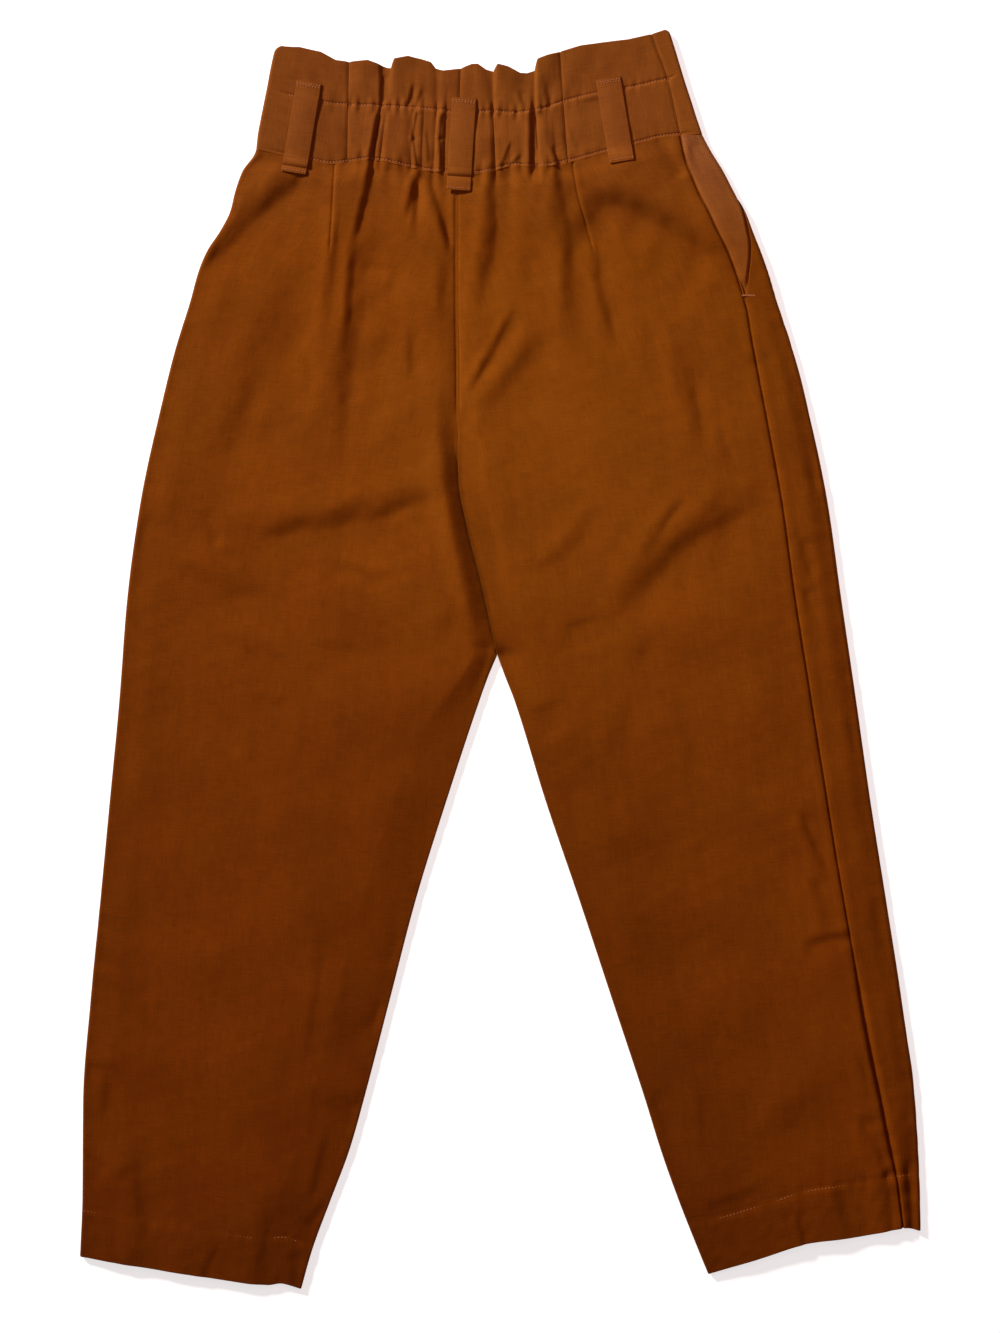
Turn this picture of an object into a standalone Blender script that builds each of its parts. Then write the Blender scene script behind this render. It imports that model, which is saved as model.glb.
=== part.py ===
"""Paperbag-waist trousers lying flat on a surface, back uppermost.

+X runs across the garment, +Y from the hems to the waist and +Z up from the surface.
All sizes below are in millimetres.  Each leg is a flattened tube: the front panel lies
on the surface and the back panel lies on it, and the tube rolls over at its outer edge.
Every piece is a wall of cloth built from a grid of points on its middle surface.
"""
import math
from bisect import bisect_right

import bmesh
import bpy
from mathutils import Vector

MM = 0.001

# ---------------------------------------------------------------- driving sizes
CLOTH = 1.2              # wall of a leg panel
FACING_CLOTH = 1.0       # wall of a pocket facing
BAND_CLOTH = 1.5         # wall of the waistband, two layers pressed together
STRAP_CLOTH = 1.6        # wall of a belt loop, folded in four
SEAM_GAP = 0.3           # between two pieces that are sewn to each other
WAIST_GAP = 0.55         # the same along the curved waist seam
LAYER_GAP = 0.35         # between two pieces that lie on each other
CROTCH = 3.0             # level of the crotch point
CROTCH_OUTER = 29.0      # level where the row through the crotch meets the outer edges
BODY_HEIGHT = 4.1        # middle of the upper layer over the seat
LEG_HEIGHT = 3.5         # and over the legs
EDGE_RUN = 22.0          # width over which the upper layer comes down to a rolled edge
CENTRE_RUN = 15.0        # and to the inseam, the centre seam or the centre fold
TIP_DROP = 2.5           # cloth turned down along an inner edge
TIP_REACH = 2.2          # how far the turned-down strip reaches sideways
GATHER_RUN = 42.0        # how far the waist gathers run into the seat
HEM_RUN = 0.2            # share of the leg over which the hem's shape fades out
WAIST_RUN = 0.3          # share of the seat over which the waist seam's shape fades out
LEFT_SEAM = -18.0        # left outseam, under the rolled edge
POCKET_GAP = 0.90        # between the facing and the pocket edge that lies on it
POCKET_TUCK = 10.0       # pocket facing that lies behind the pocket edge
POCKET_BOTTOM = 290.5    # level where the pocket opening ends
PANEL_REST = CLOTH * 1.5 + LAYER_GAP        # middle of a panel lying on the front panel
BAND_REST = BAND_CLOTH * 1.5 + LAYER_GAP    # middle of the back band lying on the front band
BAND_ROLL = 2.0          # radius of the band's rolled edge
BAND_UNDER = 14.0        # side band that turns under at the left
BAND_SPLIT = 0.57        # share of the front band's height that is casing
RUFFLE = 36.0            # height of the ruffle above the casing
RUFFLE_LEFT = 484.0      # level of the ruffle's edge at the left end of the band
RUFFLE_RIGHT = 503.0     # and at the right end
CREEP = 0.25             # least distance between two grid columns
FOLD_ANGLE = 50.0        # edges sharper than this stay sharp, in degrees
CREASE_END = 1.6         # a crease fades out over this many half widths beyond its ends
LEG_ROWS = 12
ROLL_STEPS = 5           # columns round a rolled edge
TURN_STEPS = 3           # and down a turned edge
MIDDLE_COLUMNS = 9       # even columns of a back panel between the ones near its edges
NEAR_INNER = (0.0, 4.5, 9.0, 14.0, 21.0)     # columns near its inner edge, as distances
NEAR_OUTER = (14.0, 6.0)                     # and near its outer edge
NEAR_FRONT = 34.0        # the right front's columns are close up to here from its roll
POCKET_FOOT = 4.0        # pocket facing below the end of the opening
POCKET_START = 3.0       # the facing comes away from the front where it is wider than this
POCKET_SPREAD = 6.0      # and is right away from it this much wider

# outer edges of the garment: level, left x, right x
OUTER_EDGES = (
    (420, -194.6, 162.4),
    (407, -195.4, 169.5),
    (391, -206.0, 179.6),
    (375, -211.8, 188.0),
    (359, -215.8, 197.0),
    (343, -224.0, 203.0),
    (327, -234.4, 209.2),
    (311, -241.0, 214.8),
    (287, -247.6, 222.0),
    (247, -260.0, 235.2),
    (207, -270.0, 245.8),
    (127, -287.4, 262.6),
    (47, -298.4, 274.0),
    (-33, -304.6, 285.8),
    (-113, -312.2, 297.4),
    (-193, -319.8, 309.8),
    (-273, -327.6, 322.2),
    (-353, -333.6, 333.0),
    (-433, -334.2, 337.0),
    (-478, -336.0, 337.6),
)

# inner edges of the legs: level, left x, right x
INNER_EDGES = (
    (3, -2.4, -1.2),
    (-13, -9.2, 4.6),
    (-33, -16.4, 12.4),
    (-113, -42.8, 37.2),
    (-193, -67.6, 64.4),
    (-273, -88.4, 90.8),
    (-353, -109.2, 117.2),
    (-393, -120.6, 129.6),
    (-433, -135.6, 143.8),
    (-473, -150.4, 159.6),
    (-504, -159.2, 172.4),
)

# centre line of the back, a seam above and a fold below: level, x
CENTRE_BACK = (
    (389, -34.2),
    (300, -34.2),
    (223, -33.4),
    (175, -33.4),
    (142, -32.4),
    (106, -25.8),
    (60, -14.3),
    (3, -1.8),
)

# how the two back panels meet at the centre: level, height of the left panel, height of
# the right panel, how far each edge is bent down (1 is upright), how far the left panel
# is tucked under the right one
CENTRE_MEETING = (
    (3, 3.1, 3.1, 1.0, 1.0, 0.0),
    (11, 2.15, 4.75, 0.0, 1.0, 0.0),
    (25, 2.15, 4.75, 0.0, 1.0, 8.0),
    (140, 2.15, 4.75, 0.0, 1.0, 8.0),
    (162, 2.15, 4.75, 0.0, 1.0, 0.0),
    (190, 3.5, 3.5, 0.0, 0.0, 0.0),
    (389, 3.5, 3.5, 0.0, 0.0, 0.0),
)

# rows of the seat, as heights above the crotch
SEAT_ROWS = (8, 22, 42, 67, 92, 117, 137, 159, 172, 187, 207, 230, 253, 276, 299, 319, 336, 351,
             364, 375, 386)

# hems: share of the way from the inner to the outer corner, rise of the left hem, and of
# the right hem
HEM_SHAPE = (
    (0.00, 0.0, 0.0),
    (0.08, 2.2, 1.4),
    (0.15, -0.6, 2.6),
    (0.25, -1.5, 4.4),
    (0.46, -1.4, 8.7),
    (0.75, -0.8, 5.5),
    (0.91, -0.2, 5.5),
    (1.00, 0.0, 0.0),
)

# right leg: level, how far the outseam lies in from the rolled edge, and how far the
# pocket's opening edge does (below zero it is round the edge, on the underside)
RIGHT_SEAM = (
    (420, 18.0), (391, 27.0), (359, 29.0), (327, 26.0), (290, 25.5), (252, 31.0), (207, 34.5),
    (166, 36.0), (81, 37.0), (-104, 35.0), (-191, 34.0), (-306, 31.0), (-364, 25.6), (-413, 19.0),
    (-455, 15.0),
)
POCKET_EDGE = (
    (420, -23.0), (391, -10.5), (359, 1.5), (338, 5.0), (324, 10.0), (311, 16.0), (302, 20.0),
    (291, 25.0),
)

# levels between which the pocket's edge goes round the right edge, and rows made for it
POCKET_TURN = (338.0, 378.0)
POCKET_TURN_ROWS = 9

# rows of the band: 0 at the waist seam, 1 at the stitches, 2 at the ruffle's edge
BAND_CLIMBS = (0.0, 0.3, 0.6, 0.88, 1.0, 1.25, 1.6, 2.0)
BAND_FRONT_COLUMNS = 7

# radius of the outer rolls: level, left, right
ROLLS = ((420, 2.1, 2.3), (400, 2.0, 2.7), (300, 1.8, 2.7), (250, 1.7, 1.8), (-480, 1.6, 1.6))

# waist seam and upper stitch row of the casing: x, level of the seam, level of the stitches
WAIST_LINES = (
    (-196, 407.2, 457.0),
    (-151, 398.4, 448.0),
    (-136, 395.6, 445.3),
    (-104, 399.0, 443.4),
    (-75, 393.8, 441.6),
    (-56, 390.2, 440.2),
    (-21, 387.4, 437.9),
    (-8, 389.2, 438.6),
    (12, 394.4, 437.4),
    (31, 393.0, 439.6),
    (53, 396.6, 447.0),
    (81, 404.0, 453.6),
    (108, 411.4, 458.4),
    (132, 417.4, 464.0),
    (163, 420.0, 469.0),
)

# band edges: level, left x, right x
BAND_EDGES = (
    (407, -195.0, 166.0),
    (420, -193.6, 162.4),
    (433, -191.2, 158.0),
    (447, -188.4, 153.6),
    (460, -185.8, 149.3),
    (474, -183.2, 145.0),
    (488, -180.0, 140.8),
    (503, -175.0, 136.0),
)

# gathers of the back band, a row for each ridge, valley or seam: x at the waist seam, at
# the stitches and at the ruffle's edge, level of the ruffle's edge, and the height of the
# cloth at the waist seam, half-way up the casing, at the stitches and at the ruffle's edge
GATHERS = (
    (-171, -168, -160, 489.2, 4.6, 5.0, 4.6, 5.4),
    (-150, -147, -143, 483.6, 4.4, 4.8, 4.4, 4.8),
    (-136, -134, -131, 479.4, 4.2, 4.4, 4.0, 4.4),
    (-122.0, -121.2, -120.4, 477.2, 3.8, 4.0, 3.8, 4.4),
    (-111.5, -107.0, -105.5, 478.6, 5.0, 5.0, 4.6, 6.0),
    (-105.5, -97.5, -97.5, 475.8, 6.0, 6.0, 5.2, 6.6),
    (-102.5, -94.8, -93.6, 474.2, 2.9, 3.2, 2.8, 3.0),
    (-98.8, -92.4, -89.2, 472.6, 4.5, 4.6, 3.6, 3.6),
    (-95.6, -90.0, -86.4, 472.4, 3.0, 3.6, 4.0, 4.4),
    (-91.6, -86.0, -84.0, 479.6, 5.0, 5.4, 5.2, 8.0),
    (-79.6, -76.4, -73.2, 481.6, 5.2, 5.6, 4.8, 7.2),
    (-70.8, -68.8, -66.8, 480.2, 3.4, 3.9, 3.6, 6.6),
    (-66.0, -64.0, -63.6, 479.6, 5.6, 6.4, 5.4, 6.6),
    (-62.4, -60.8, -58.8, 478.2, 4.2, 4.6, 4.2, 6.4),
    (-56.4, -54.0, -54.8, 477.0, 4.6, 5.0, 4.6, 6.2),
    (-52.8, -50.0, -50.8, 472.0, 3.4, 4.0, 3.2, 3.8),
    (-48.8, -46.2, -45.2, 470.4, 5.4, 6.4, 5.2, 5.0),
    (-44.8, -42.8, -39.6, 471.0, 3.2, 3.4, 3.4, 5.0),
    (-33.6, -32.4, -31.0, 472.2, 4.2, 4.2, 3.8, 4.6),
    (-22.8, -20.8, -22.0, 475.6, 4.4, 4.6, 4.2, 6.4),
    (-14.0, -14.8, -17.2, 475.6, 5.2, 5.6, 4.8, 7.0),
    (-7.6, -8.8, -10.8, 471.4, 6.0, 5.8, 4.4, 4.2),
    (-2.8, -5.2, -4.6, 469.6, 2.8, 3.0, 2.7, 2.9),
    (0.4, -1.6, -1.4, 475.2, 5.6, 6.2, 4.6, 8.2),
    (9.2, 6.8, 6.8, 473.4, 4.6, 5.0, 4.8, 7.6),
    (18.0, 16.4, 16.4, 468.6, 5.2, 5.4, 4.8, 5.0),
    (23.2, 24.4, 22.0, 468.4, 5.6, 6.2, 5.2, 4.0),
    (25.6, 26.4, 27.0, 470.0, 3.0, 3.0, 3.0, 3.2),
    (31.8, 28.8, 28.6, 470.8, 2.9, 3.0, 2.7, 3.0),
    (34.4, 31.0, 30.6, 479.4, 6.6, 6.8, 6.0, 8.4),
    (41.2, 38.0, 38.0, 482.2, 6.4, 5.4, 4.4, 6.8),
    (46.0, 42.0, 42.8, 483.6, 3.6, 4.2, 4.6, 6.0),
    (50.0, 46.4, 45.2, 484.2, 5.0, 5.0, 4.4, 5.2),
    (54.8, 51.0, 48.4, 485.2, 3.8, 4.0, 3.8, 4.6),
    (72.4, 69.2, 64.4, 490.0, 4.2, 4.6, 4.2, 4.8),
    (92.4, 88.4, 82.8, 492.8, 4.4, 4.8, 4.4, 5.0),
    (116.4, 110.8, 102.8, 495.2, 4.6, 5.0, 4.6, 5.2),
    (145.0, 134.8, 121.8, 499.6, 4.4, 4.6, 4.4, 4.8),
)
SEAM_LEFT, SEAM_CENTRE, SEAM_RIGHT, SEAM_SIDE = 3, 18, 33, 37     # rows that are band seams

# top of the front band, kept below the ruffle: x, level
FRONT_TOP = ((-181, 478), (-150, 474), (-90, 464), (30, 463), (60, 474), (110, 488), (136, 500))

# creases of the upper layer: start x, start level, end x, end level, half width, height
# (troughs are below zero), sideways bow
CREASES = (
    (-104, 390, -123, 270, 8, -1.9, -4),
    (-123, 280, -130, 190, 9, -0.9, 0),
    (-188, 272, -224, 150, 12, -1.1, 6),
    (-58, 386, -38, 334, 6, -1.7, 0),
    (-2, 386, -20, 280, 8, -1.9, 6),
    (39, 389, 61, 252, 9, -1.5, 5),
    (70, 373, 184, 317, 5, -0.9, -5),
    (144, 241, 168, 167, 10, -1.0, 4),
    (204, 127, 96, 38, 12, -1.4, 7),
    (146, 133, 108, 91, 9, -0.8, 0),
    (-52, 127, -150, 92, 12, -1.7, 6),
    (-150, 92, -211, 99, 11, -1.2, 5),
    (-234, 69, -168, 46, 10, -0.8, 3),
    (-140, -202, -143, -244, 9, -0.9, 0),
    (-148, -347, -112, -359, 7, -0.8, 0),
    (-321, -329, -314, -364, 7, -0.8, 0),
    (249, -163, 254, -211, 9, -0.8, 0),
    (256, -331, 205, -385, 10, -0.9, 0),
    (209, -425, 171, -437, 8, -0.9, 0),
    (282, -357, 299, -406, 9, -0.8, 0),
)

# belt loops: name, top centre x and level, bottom centre x and level, width
LOOPS = (
    ("left", -152.2, 461.4, -164.4, 388.4, 20.0),
    ("centre", -28.2, 448.6, -32.8, 374.6, 19.4),
    ("right", 86.8, 464.4, 97.8, 397.6, 20.0),
)
LOOP_LIFT = 2.2          # how far a loop stands off the casing between its tacks
LOOP_TACK = 7.0          # length of loop that is sewn down at each end
LOOP_EASE = 9.0          # length over which it rises off the casing
LOOP_GAP = 0.5           # between a loop and the cloth under its tacks
LOOP_ROWS = 12
LOOP_COLUMNS = 2

# finish of each family of pieces: linear base colour, roughness
FINISHES = {
    "panel": ((0.240, 0.058, 0.008), 0.86),
    "band": ((0.260, 0.066, 0.011), 0.84),
    "facing": ((0.225, 0.054, 0.009), 0.88),
    "loop": ((0.275, 0.072, 0.012), 0.82),
}


# ---------------------------------------------------------------- curves and tables
def ease(share):
    """0 below 0, 1 above 1, smooth between."""
    share = min(max(share, 0.0), 1.0)
    return share * share * (3.0 - 2.0 * share)


def mix(low, high, share):
    return low + (high - low) * share


def steps(start, end, count):
    """count + 1 even values from start to end."""
    return [mix(start, end, index / count) for index in range(count + 1)]


def smooth_curve(table, value=1, key=0):
    """Curve through two columns of a table, with no overshoot between its rows."""
    rows = sorted((row[key], row[value]) for row in table)
    keys = [row[0] for row in rows]
    values = [row[1] for row in rows]
    last = len(rows) - 1
    slopes = [(values[i + 1] - values[i]) / (keys[i + 1] - keys[i]) for i in range(last)]
    tangents = [slopes[0]]
    for i in range(1, last):
        same_way = slopes[i - 1] * slopes[i] > 0.0
        tangents.append(2.0 / (1.0 / slopes[i - 1] + 1.0 / slopes[i]) if same_way else 0.0)
    tangents.append(slopes[-1])

    def at(x):
        i = min(max(bisect_right(keys, x) - 1, 0), last - 1)
        width = keys[i + 1] - keys[i]
        t = min(max((x - keys[i]) / width, 0.0), 1.0)
        start = (1 + 2 * t) * (1 - t) ** 2 * values[i] + t * (1 - t) ** 2 * width * tangents[i]
        end = t * t * (3 - 2 * t) * values[i + 1] + t * t * (t - 1) * width * tangents[i + 1]
        return start + end

    return at


def straight_curve(table, value=1, key=0):
    """Straight lines through two columns of a table."""
    rows = sorted((row[key], row[value]) for row in table)
    keys = [row[0] for row in rows]

    def at(x):
        i = min(max(bisect_right(keys, x) - 1, 0), len(rows) - 2)
        share = (x - keys[i]) / (keys[i + 1] - keys[i])
        return mix(rows[i][1], rows[i + 1][1], min(max(share, 0.0), 1.0))

    return at


centre_back = smooth_curve(CENTRE_BACK)
seam_level = smooth_curve(WAIST_LINES, 1)
stitch_level = smooth_curve(WAIST_LINES, 2)
band_left_edge = smooth_curve(BAND_EDGES, 1)
band_right_edge = smooth_curve(BAND_EDGES, 2)
front_top_level = smooth_curve(FRONT_TOP)
outseam = smooth_curve(RIGHT_SEAM)
pocket_edge = smooth_curve(POCKET_EDGE)
LEFT_WAIST = (-195.4, 407.2)
RIGHT_WAIST = (162.4, 420.0)
FRONT_CENTRE_X = -17.0


def waist_line(x):
    """Straight waist seam of the front, from side to side."""
    share = (x - LEFT_WAIST[0]) / (RIGHT_WAIST[0] - LEFT_WAIST[0])
    return mix(LEFT_WAIST[1], RIGHT_WAIST[1], share)


# ---------------------------------------------------------------- waistband surface
def gather_line(row, climb):
    """Plan place and height of one gather at climb 0 (seam), 1 (stitches) to 2 (edge)."""
    seam_x, stitch_x, edge_x, edge_y, seam_z, casing_z, stitch_z, edge_z = row
    if climb <= 1.0:
        x = mix(seam_x, stitch_x, climb)
        y = mix(seam_level(seam_x), stitch_level(stitch_x), climb)
        below = seam_z * (1.0 - climb) * (1.0 - 2.0 * climb)
        z = below + 4.0 * casing_z * climb * (1.0 - climb) + stitch_z * climb * (2.0 * climb - 1.0)
    else:
        x = mix(stitch_x, edge_x, climb - 1.0)
        y = mix(stitch_level(stitch_x), edge_y, climb - 1.0)
        z = mix(stitch_z, edge_z, ease(climb - 1.0))
    return x, y, max(z, BAND_REST)


def band_point(place, climb):
    """Point of the back band between two gathers; place counts rows of GATHERS."""
    index = min(int(place), len(GATHERS) - 2)
    share = place - index
    low, high = GATHERS[index], GATHERS[index + 1]
    across = [mix(a, b, share) for a, b in zip(low[:3], high[:3])]
    shape = [mix(a, b, ease(share)) for a, b in zip(low[3:], high[3:])]
    return Vector(gather_line(across + shape, climb))


def seam_height(x):
    """Height of the gathered waist seam."""
    previous = GATHERS[0]
    for row in GATHERS[1:]:
        if x <= row[0]:
            share = (x - previous[0]) / (row[0] - previous[0])
            return mix(previous[4], row[4], ease(share))
        previous = row
    return previous[4]


# ---------------------------------------------------------------- leg and seat surface
def crease_height(x, y):
    """Sum of the soft troughs and ridges of the upper layer."""
    total = 0.0
    for x0, y0, x1, y1, half_width, height, bow in CREASES:
        run_x, run_y = x1 - x0, y1 - y0
        length = math.hypot(run_x, run_y)
        along = ((x - x0) * run_x + (y - y0) * run_y) / length
        share = along / length
        across = ((x - x0) * run_y - (y - y0) * run_x) / length
        across += bow * math.sin(math.pi * min(max(share, 0.0), 1.0))
        beyond = max(-along, along - length, 0.0)
        spread = (across / half_width) ** 2 + (beyond / (CREASE_END * half_width)) ** 2
        total += height * math.exp(-spread)
    return total


class Half:
    """One leg with its half of the seat.

    A row is counted from -1 at the hem through 0 at the crotch to 1 at the waist.  Along
    a row, wrap is the length of cloth measured from the outer edge: above zero on the
    upper side, below zero on the underside.
    """

    def __init__(self, side, hem_inner, hem_outer, waist):
        column = 1 if side == "left" else 2
        self.inward = 1.0 if side == "left" else -1.0
        self.outer = smooth_curve(OUTER_EDGES, column)
        self.inner = smooth_curve(INNER_EDGES, column)
        self.roll_at = straight_curve(ROLLS, column)
        self.hem_rise = smooth_curve(HEM_SHAPE, column)
        self.meeting_height = straight_curve(CENTRE_MEETING, column)
        self.meeting_bend = straight_curve(CENTRE_MEETING, column + 2)
        self.tuck = straight_curve(CENTRE_MEETING, 5) if side == "left" else (lambda level: 0.0)
        self.hem_inner = hem_inner
        self.hem_outer = hem_outer
        self.waist = waist

    def levels(self, layer, row):
        """Levels of a row's inner and outer ends."""
        if row <= 0.0:
            return mix(CROTCH, self.hem_inner, -row), mix(CROTCH_OUTER, self.hem_outer, -row)
        if layer == "back":
            top = CENTRE_BACK[0][0]
        else:
            top = waist_line(FRONT_CENTRE_X)
        return mix(CROTCH, top, row), mix(CROTCH_OUTER, self.waist[1], row)

    def ends(self, layer, row):
        """Plan points of a row's inner and outer ends, at the cloth's outside."""
        inner_level, outer_level = self.levels(layer, row)
        if row <= 0.0:
            x = self.inner(inner_level)
        elif layer == "back":
            x = centre_back(inner_level) - self.inward * SEAM_GAP / 2
            x += self.tuck(inner_level)
        else:
            share = (inner_level - CROTCH) / (waist_line(FRONT_CENTRE_X) - CROTCH)
            x = mix(self.inner(CROTCH), FRONT_CENTRE_X - self.inward * SEAM_GAP / 2, ease(share))
        outer = Vector((self.outer(outer_level), outer_level))
        return Vector((x, inner_level)), outer

    def roll(self, row):
        return self.roll_at(self.levels("back", row)[1])

    def width(self, layer, row):
        inner, outer = self.ends(layer, row)
        return (outer - inner).length

    def plan(self, layer, row, inset):
        """Plan point at a distance in from the outer edge, along a row."""
        inner, outer = self.ends(layer, row)
        width = (outer - inner).length
        spot = outer + (inner - outer) * (inset / width)
        share = 1.0 - inset / width
        spot.y += self.hem_rise(share) * ease((HEM_RUN - 1.0 - row) / HEM_RUN)
        if layer == "back" and row > 1.0 - WAIST_RUN:
            top_inner, top_outer = self.ends("back", 1.0)
            across = (spot.x - top_inner.x) / (top_outer.x - top_inner.x)
            straight = mix(top_inner.y, top_outer.y, across)
            sag = seam_level(spot.x) - straight
            spot.y += sag * ease((row - 1.0 + WAIST_RUN) / WAIST_RUN)
        return spot

    def upper_height(self, row, spot, inset):
        """Middle height of the upper layer at a plan point."""
        inner_level = self.levels("back", row)[0]
        roll = self.roll(row)
        edge = CLOTH / 2 + 2.0 * roll
        body = mix(LEG_HEIGHT, BODY_HEIGHT, ease(row + 0.5)) + crease_height(spot.x, spot.y)
        height = mix(edge, body, ease((inset - CLOTH / 2 - roll) / EDGE_RUN))
        from_inner = self.width("back", row) - inset - self.reach(row)
        from_inner -= self.tuck(max(inner_level, CROTCH))
        inner_height = self.meeting_height(max(inner_level, CROTCH))
        height = mix(inner_height, height, ease(from_inner / CENTRE_RUN))
        from_waist = seam_level(spot.x) - spot.y
        height = mix(height, seam_height(spot.x), ease(1.0 - from_waist / GATHER_RUN))
        return max(height, PANEL_REST)

    def point(self, row, wrap, inward=0.0):
        """Point of the tube at a wrap length; inward moves it towards the tube's inside."""
        layer = "back" if wrap > 0.0 else "front"
        roll = self.roll(row)
        quarter = roll * math.pi / 2
        if wrap > quarter:
            inset = CLOTH / 2 + roll + wrap - quarter
            spot = self.plan(layer, row, inset)
            height = self.upper_height(row, spot, inset) - inward
        elif wrap < -quarter:
            inset = CLOTH / 2 + roll - wrap - quarter
            spot = self.plan(layer, row, inset)
            height = CLOTH / 2 + inward
        else:
            angle = wrap / roll
            radius = roll - inward
            spot = self.plan(layer, row, CLOTH / 2 + roll - radius * math.cos(angle))
            height = CLOTH / 2 + roll + radius * math.sin(angle)
        return Vector((spot.x, spot.y, height))

    def bend(self, row):
        return self.meeting_bend(max(self.levels("back", row)[0], CROTCH))

    def reach(self, row):
        """How far the strip along the inner edge reaches sideways."""
        return mix(TIP_DROP, TIP_REACH, self.bend(row))

    def wrap_at(self, layer, row, from_inner):
        """Wrap length, on the upper side, of a point at a distance from the inner end."""
        roll = self.roll(row)
        return self.width(layer, row) - from_inner - CLOTH / 2 - roll + roll * math.pi / 2

    def turned_edge(self, row):
        """Points of the strip that is turned down along the inner edge, tip last."""
        start_wrap = self.wrap_at("back", row, self.reach(row))
        start = self.point(row, start_wrap)
        inner, outer = self.ends("back", row)
        outwards = (inner - outer).normalized()
        points = [start]
        step = TIP_DROP / TURN_STEPS
        for index in range(TURN_STEPS):
            angle = self.bend(row) * math.pi / 2 * (index + 0.5) / TURN_STEPS
            side = outwards * (step * math.cos(angle))
            points.append(points[-1] + Vector((side.x, side.y, -step * math.sin(angle))))
        return points[1:]


def column_wraps(high, low, quarter, above, around, below):
    """Wrap lengths of a panel's columns, held between its two edges on this row."""
    wraps = steps(max(high, quarter + 1.0), quarter, above)
    wraps += steps(quarter, -quarter, around)[1:]
    wraps += steps(-quarter, min(low, -quarter - 1.0), below)[1:]
    last = len(wraps) - 1
    wraps = [min(wrap, high - index * CREEP) for index, wrap in enumerate(wraps)]
    return [max(wrap, low + (last - index) * CREEP) for index, wrap in enumerate(wraps)]


LEFT = Half("left", -504.0, -478.0, LEFT_WAIST)
RIGHT = Half("right", -492.0, -457.6, RIGHT_WAIST)
HEM_TO_CROTCH = steps(-1.0, 0.0, LEG_ROWS)
CROTCH_TO_WAIST = [height / SEAT_ROWS[-1] for height in SEAT_ROWS]
ROWS = HEM_TO_CROTCH + CROTCH_TO_WAIST


def left_pocket_wrap(level):
    """Opening edge of the left pocket, on the underside, as the mirror of the right one."""
    return LEFT_SEAM - (outseam(level) - pocket_edge(level))


# ---------------------------------------------------------------- making a wall of cloth
def clear_scene():
    for item in list(bpy.data.objects):
        bpy.data.objects.remove(item, do_unlink=True)


def cloth_material(name, finish):
    colour, roughness = FINISHES[finish]
    material = bpy.data.materials.new(name)
    material.use_nodes = True
    shader = material.node_tree.nodes["Principled BSDF"]
    shader.inputs["Base Color"].default_value = (*colour, 1.0)
    shader.inputs["Roughness"].default_value = roughness
    shader.inputs["Metallic"].default_value = 0.0
    return material


def grid_normals(grid):
    """Unit normals of a grid of points, from its rows and columns."""
    last_row, last_column = len(grid) - 1, len(grid[0]) - 1
    normals = []
    for r, row in enumerate(grid):
        line = []
        for c in range(len(row)):
            along = grid[min(r + 1, last_row)][c] - grid[max(r - 1, 0)][c]
            across = grid[r][min(c + 1, last_column)] - grid[r][max(c - 1, 0)]
            line.append(across.cross(along).normalized())
        normals.append(line)
    return normals


def cloth_wall(name, grid, thickness, finish):
    """Closed wall of cloth on both sides of a grid of middle points."""
    normals = grid_normals(grid)
    rows, columns = len(grid), len(grid[0])
    mesh = bmesh.new()
    faces = []
    for sign in (0.5, -0.5):
        faces.append([[mesh.verts.new((point + normal * thickness * sign) * MM)
                       for point, normal in zip(row, normal_row)]
                      for row, normal_row in zip(grid, normals)])
    upper, lower = faces
    for r in range(rows - 1):
        for c in range(columns - 1):
            mesh.faces.new((upper[r][c], upper[r][c + 1], upper[r + 1][c + 1], upper[r + 1][c]))
            mesh.faces.new((lower[r][c], lower[r + 1][c], lower[r + 1][c + 1], lower[r][c + 1]))
    border = [(0, c) for c in range(columns)] + [(r, columns - 1) for r in range(1, rows)]
    border += [(rows - 1, c) for c in range(columns - 2, -1, -1)]
    border += [(r, 0) for r in range(rows - 2, 0, -1)]
    for here, after in zip(border, border[1:] + border[:1]):
        mesh.faces.new((upper[here[0]][here[1]], lower[here[0]][here[1]],
                        lower[after[0]][after[1]], upper[after[0]][after[1]]))
    bmesh.ops.recalc_face_normals(mesh, faces=mesh.faces)
    data = bpy.data.meshes.new(name)
    mesh.to_mesh(data)
    mesh.free()
    data.shade_smooth()
    data.set_sharp_from_angle(angle=math.radians(FOLD_ANGLE))
    piece = bpy.data.objects.new(name, data)
    piece.data.materials.append(cloth_material(name, finish))
    bpy.context.collection.objects.link(piece)
    return piece


# ---------------------------------------------------------------- leg panels
def back_panel(half, outer_wrap):
    """Back leg: from the inner edge over the top to the outseam at outer_wrap(row)."""
    grid = []
    for row in ROWS:
        edge = outer_wrap(row)
        roll = half.roll(row)
        quarter = roll * math.pi / 2
        start = half.wrap_at("back", row, half.reach(row))
        end = max(edge, quarter)
        wraps = [start - distance for distance in NEAR_INNER[:-1]]
        wraps += steps(start - NEAR_INNER[-1], end + NEAR_OUTER[0], MIDDLE_COLUMNS)
        wraps += [end + NEAR_OUTER[1], end]
        if edge < quarter:
            wraps += steps(quarter, -quarter, ROLL_STEPS)[1:] + [edge]
        points = [half.point(row, wrap) for wrap in wraps]
        grid.append(list(reversed(half.turned_edge(row))) + points)
    return grid


def right_outseam(row):
    return outseam(RIGHT.levels("back", row)[1])


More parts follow.
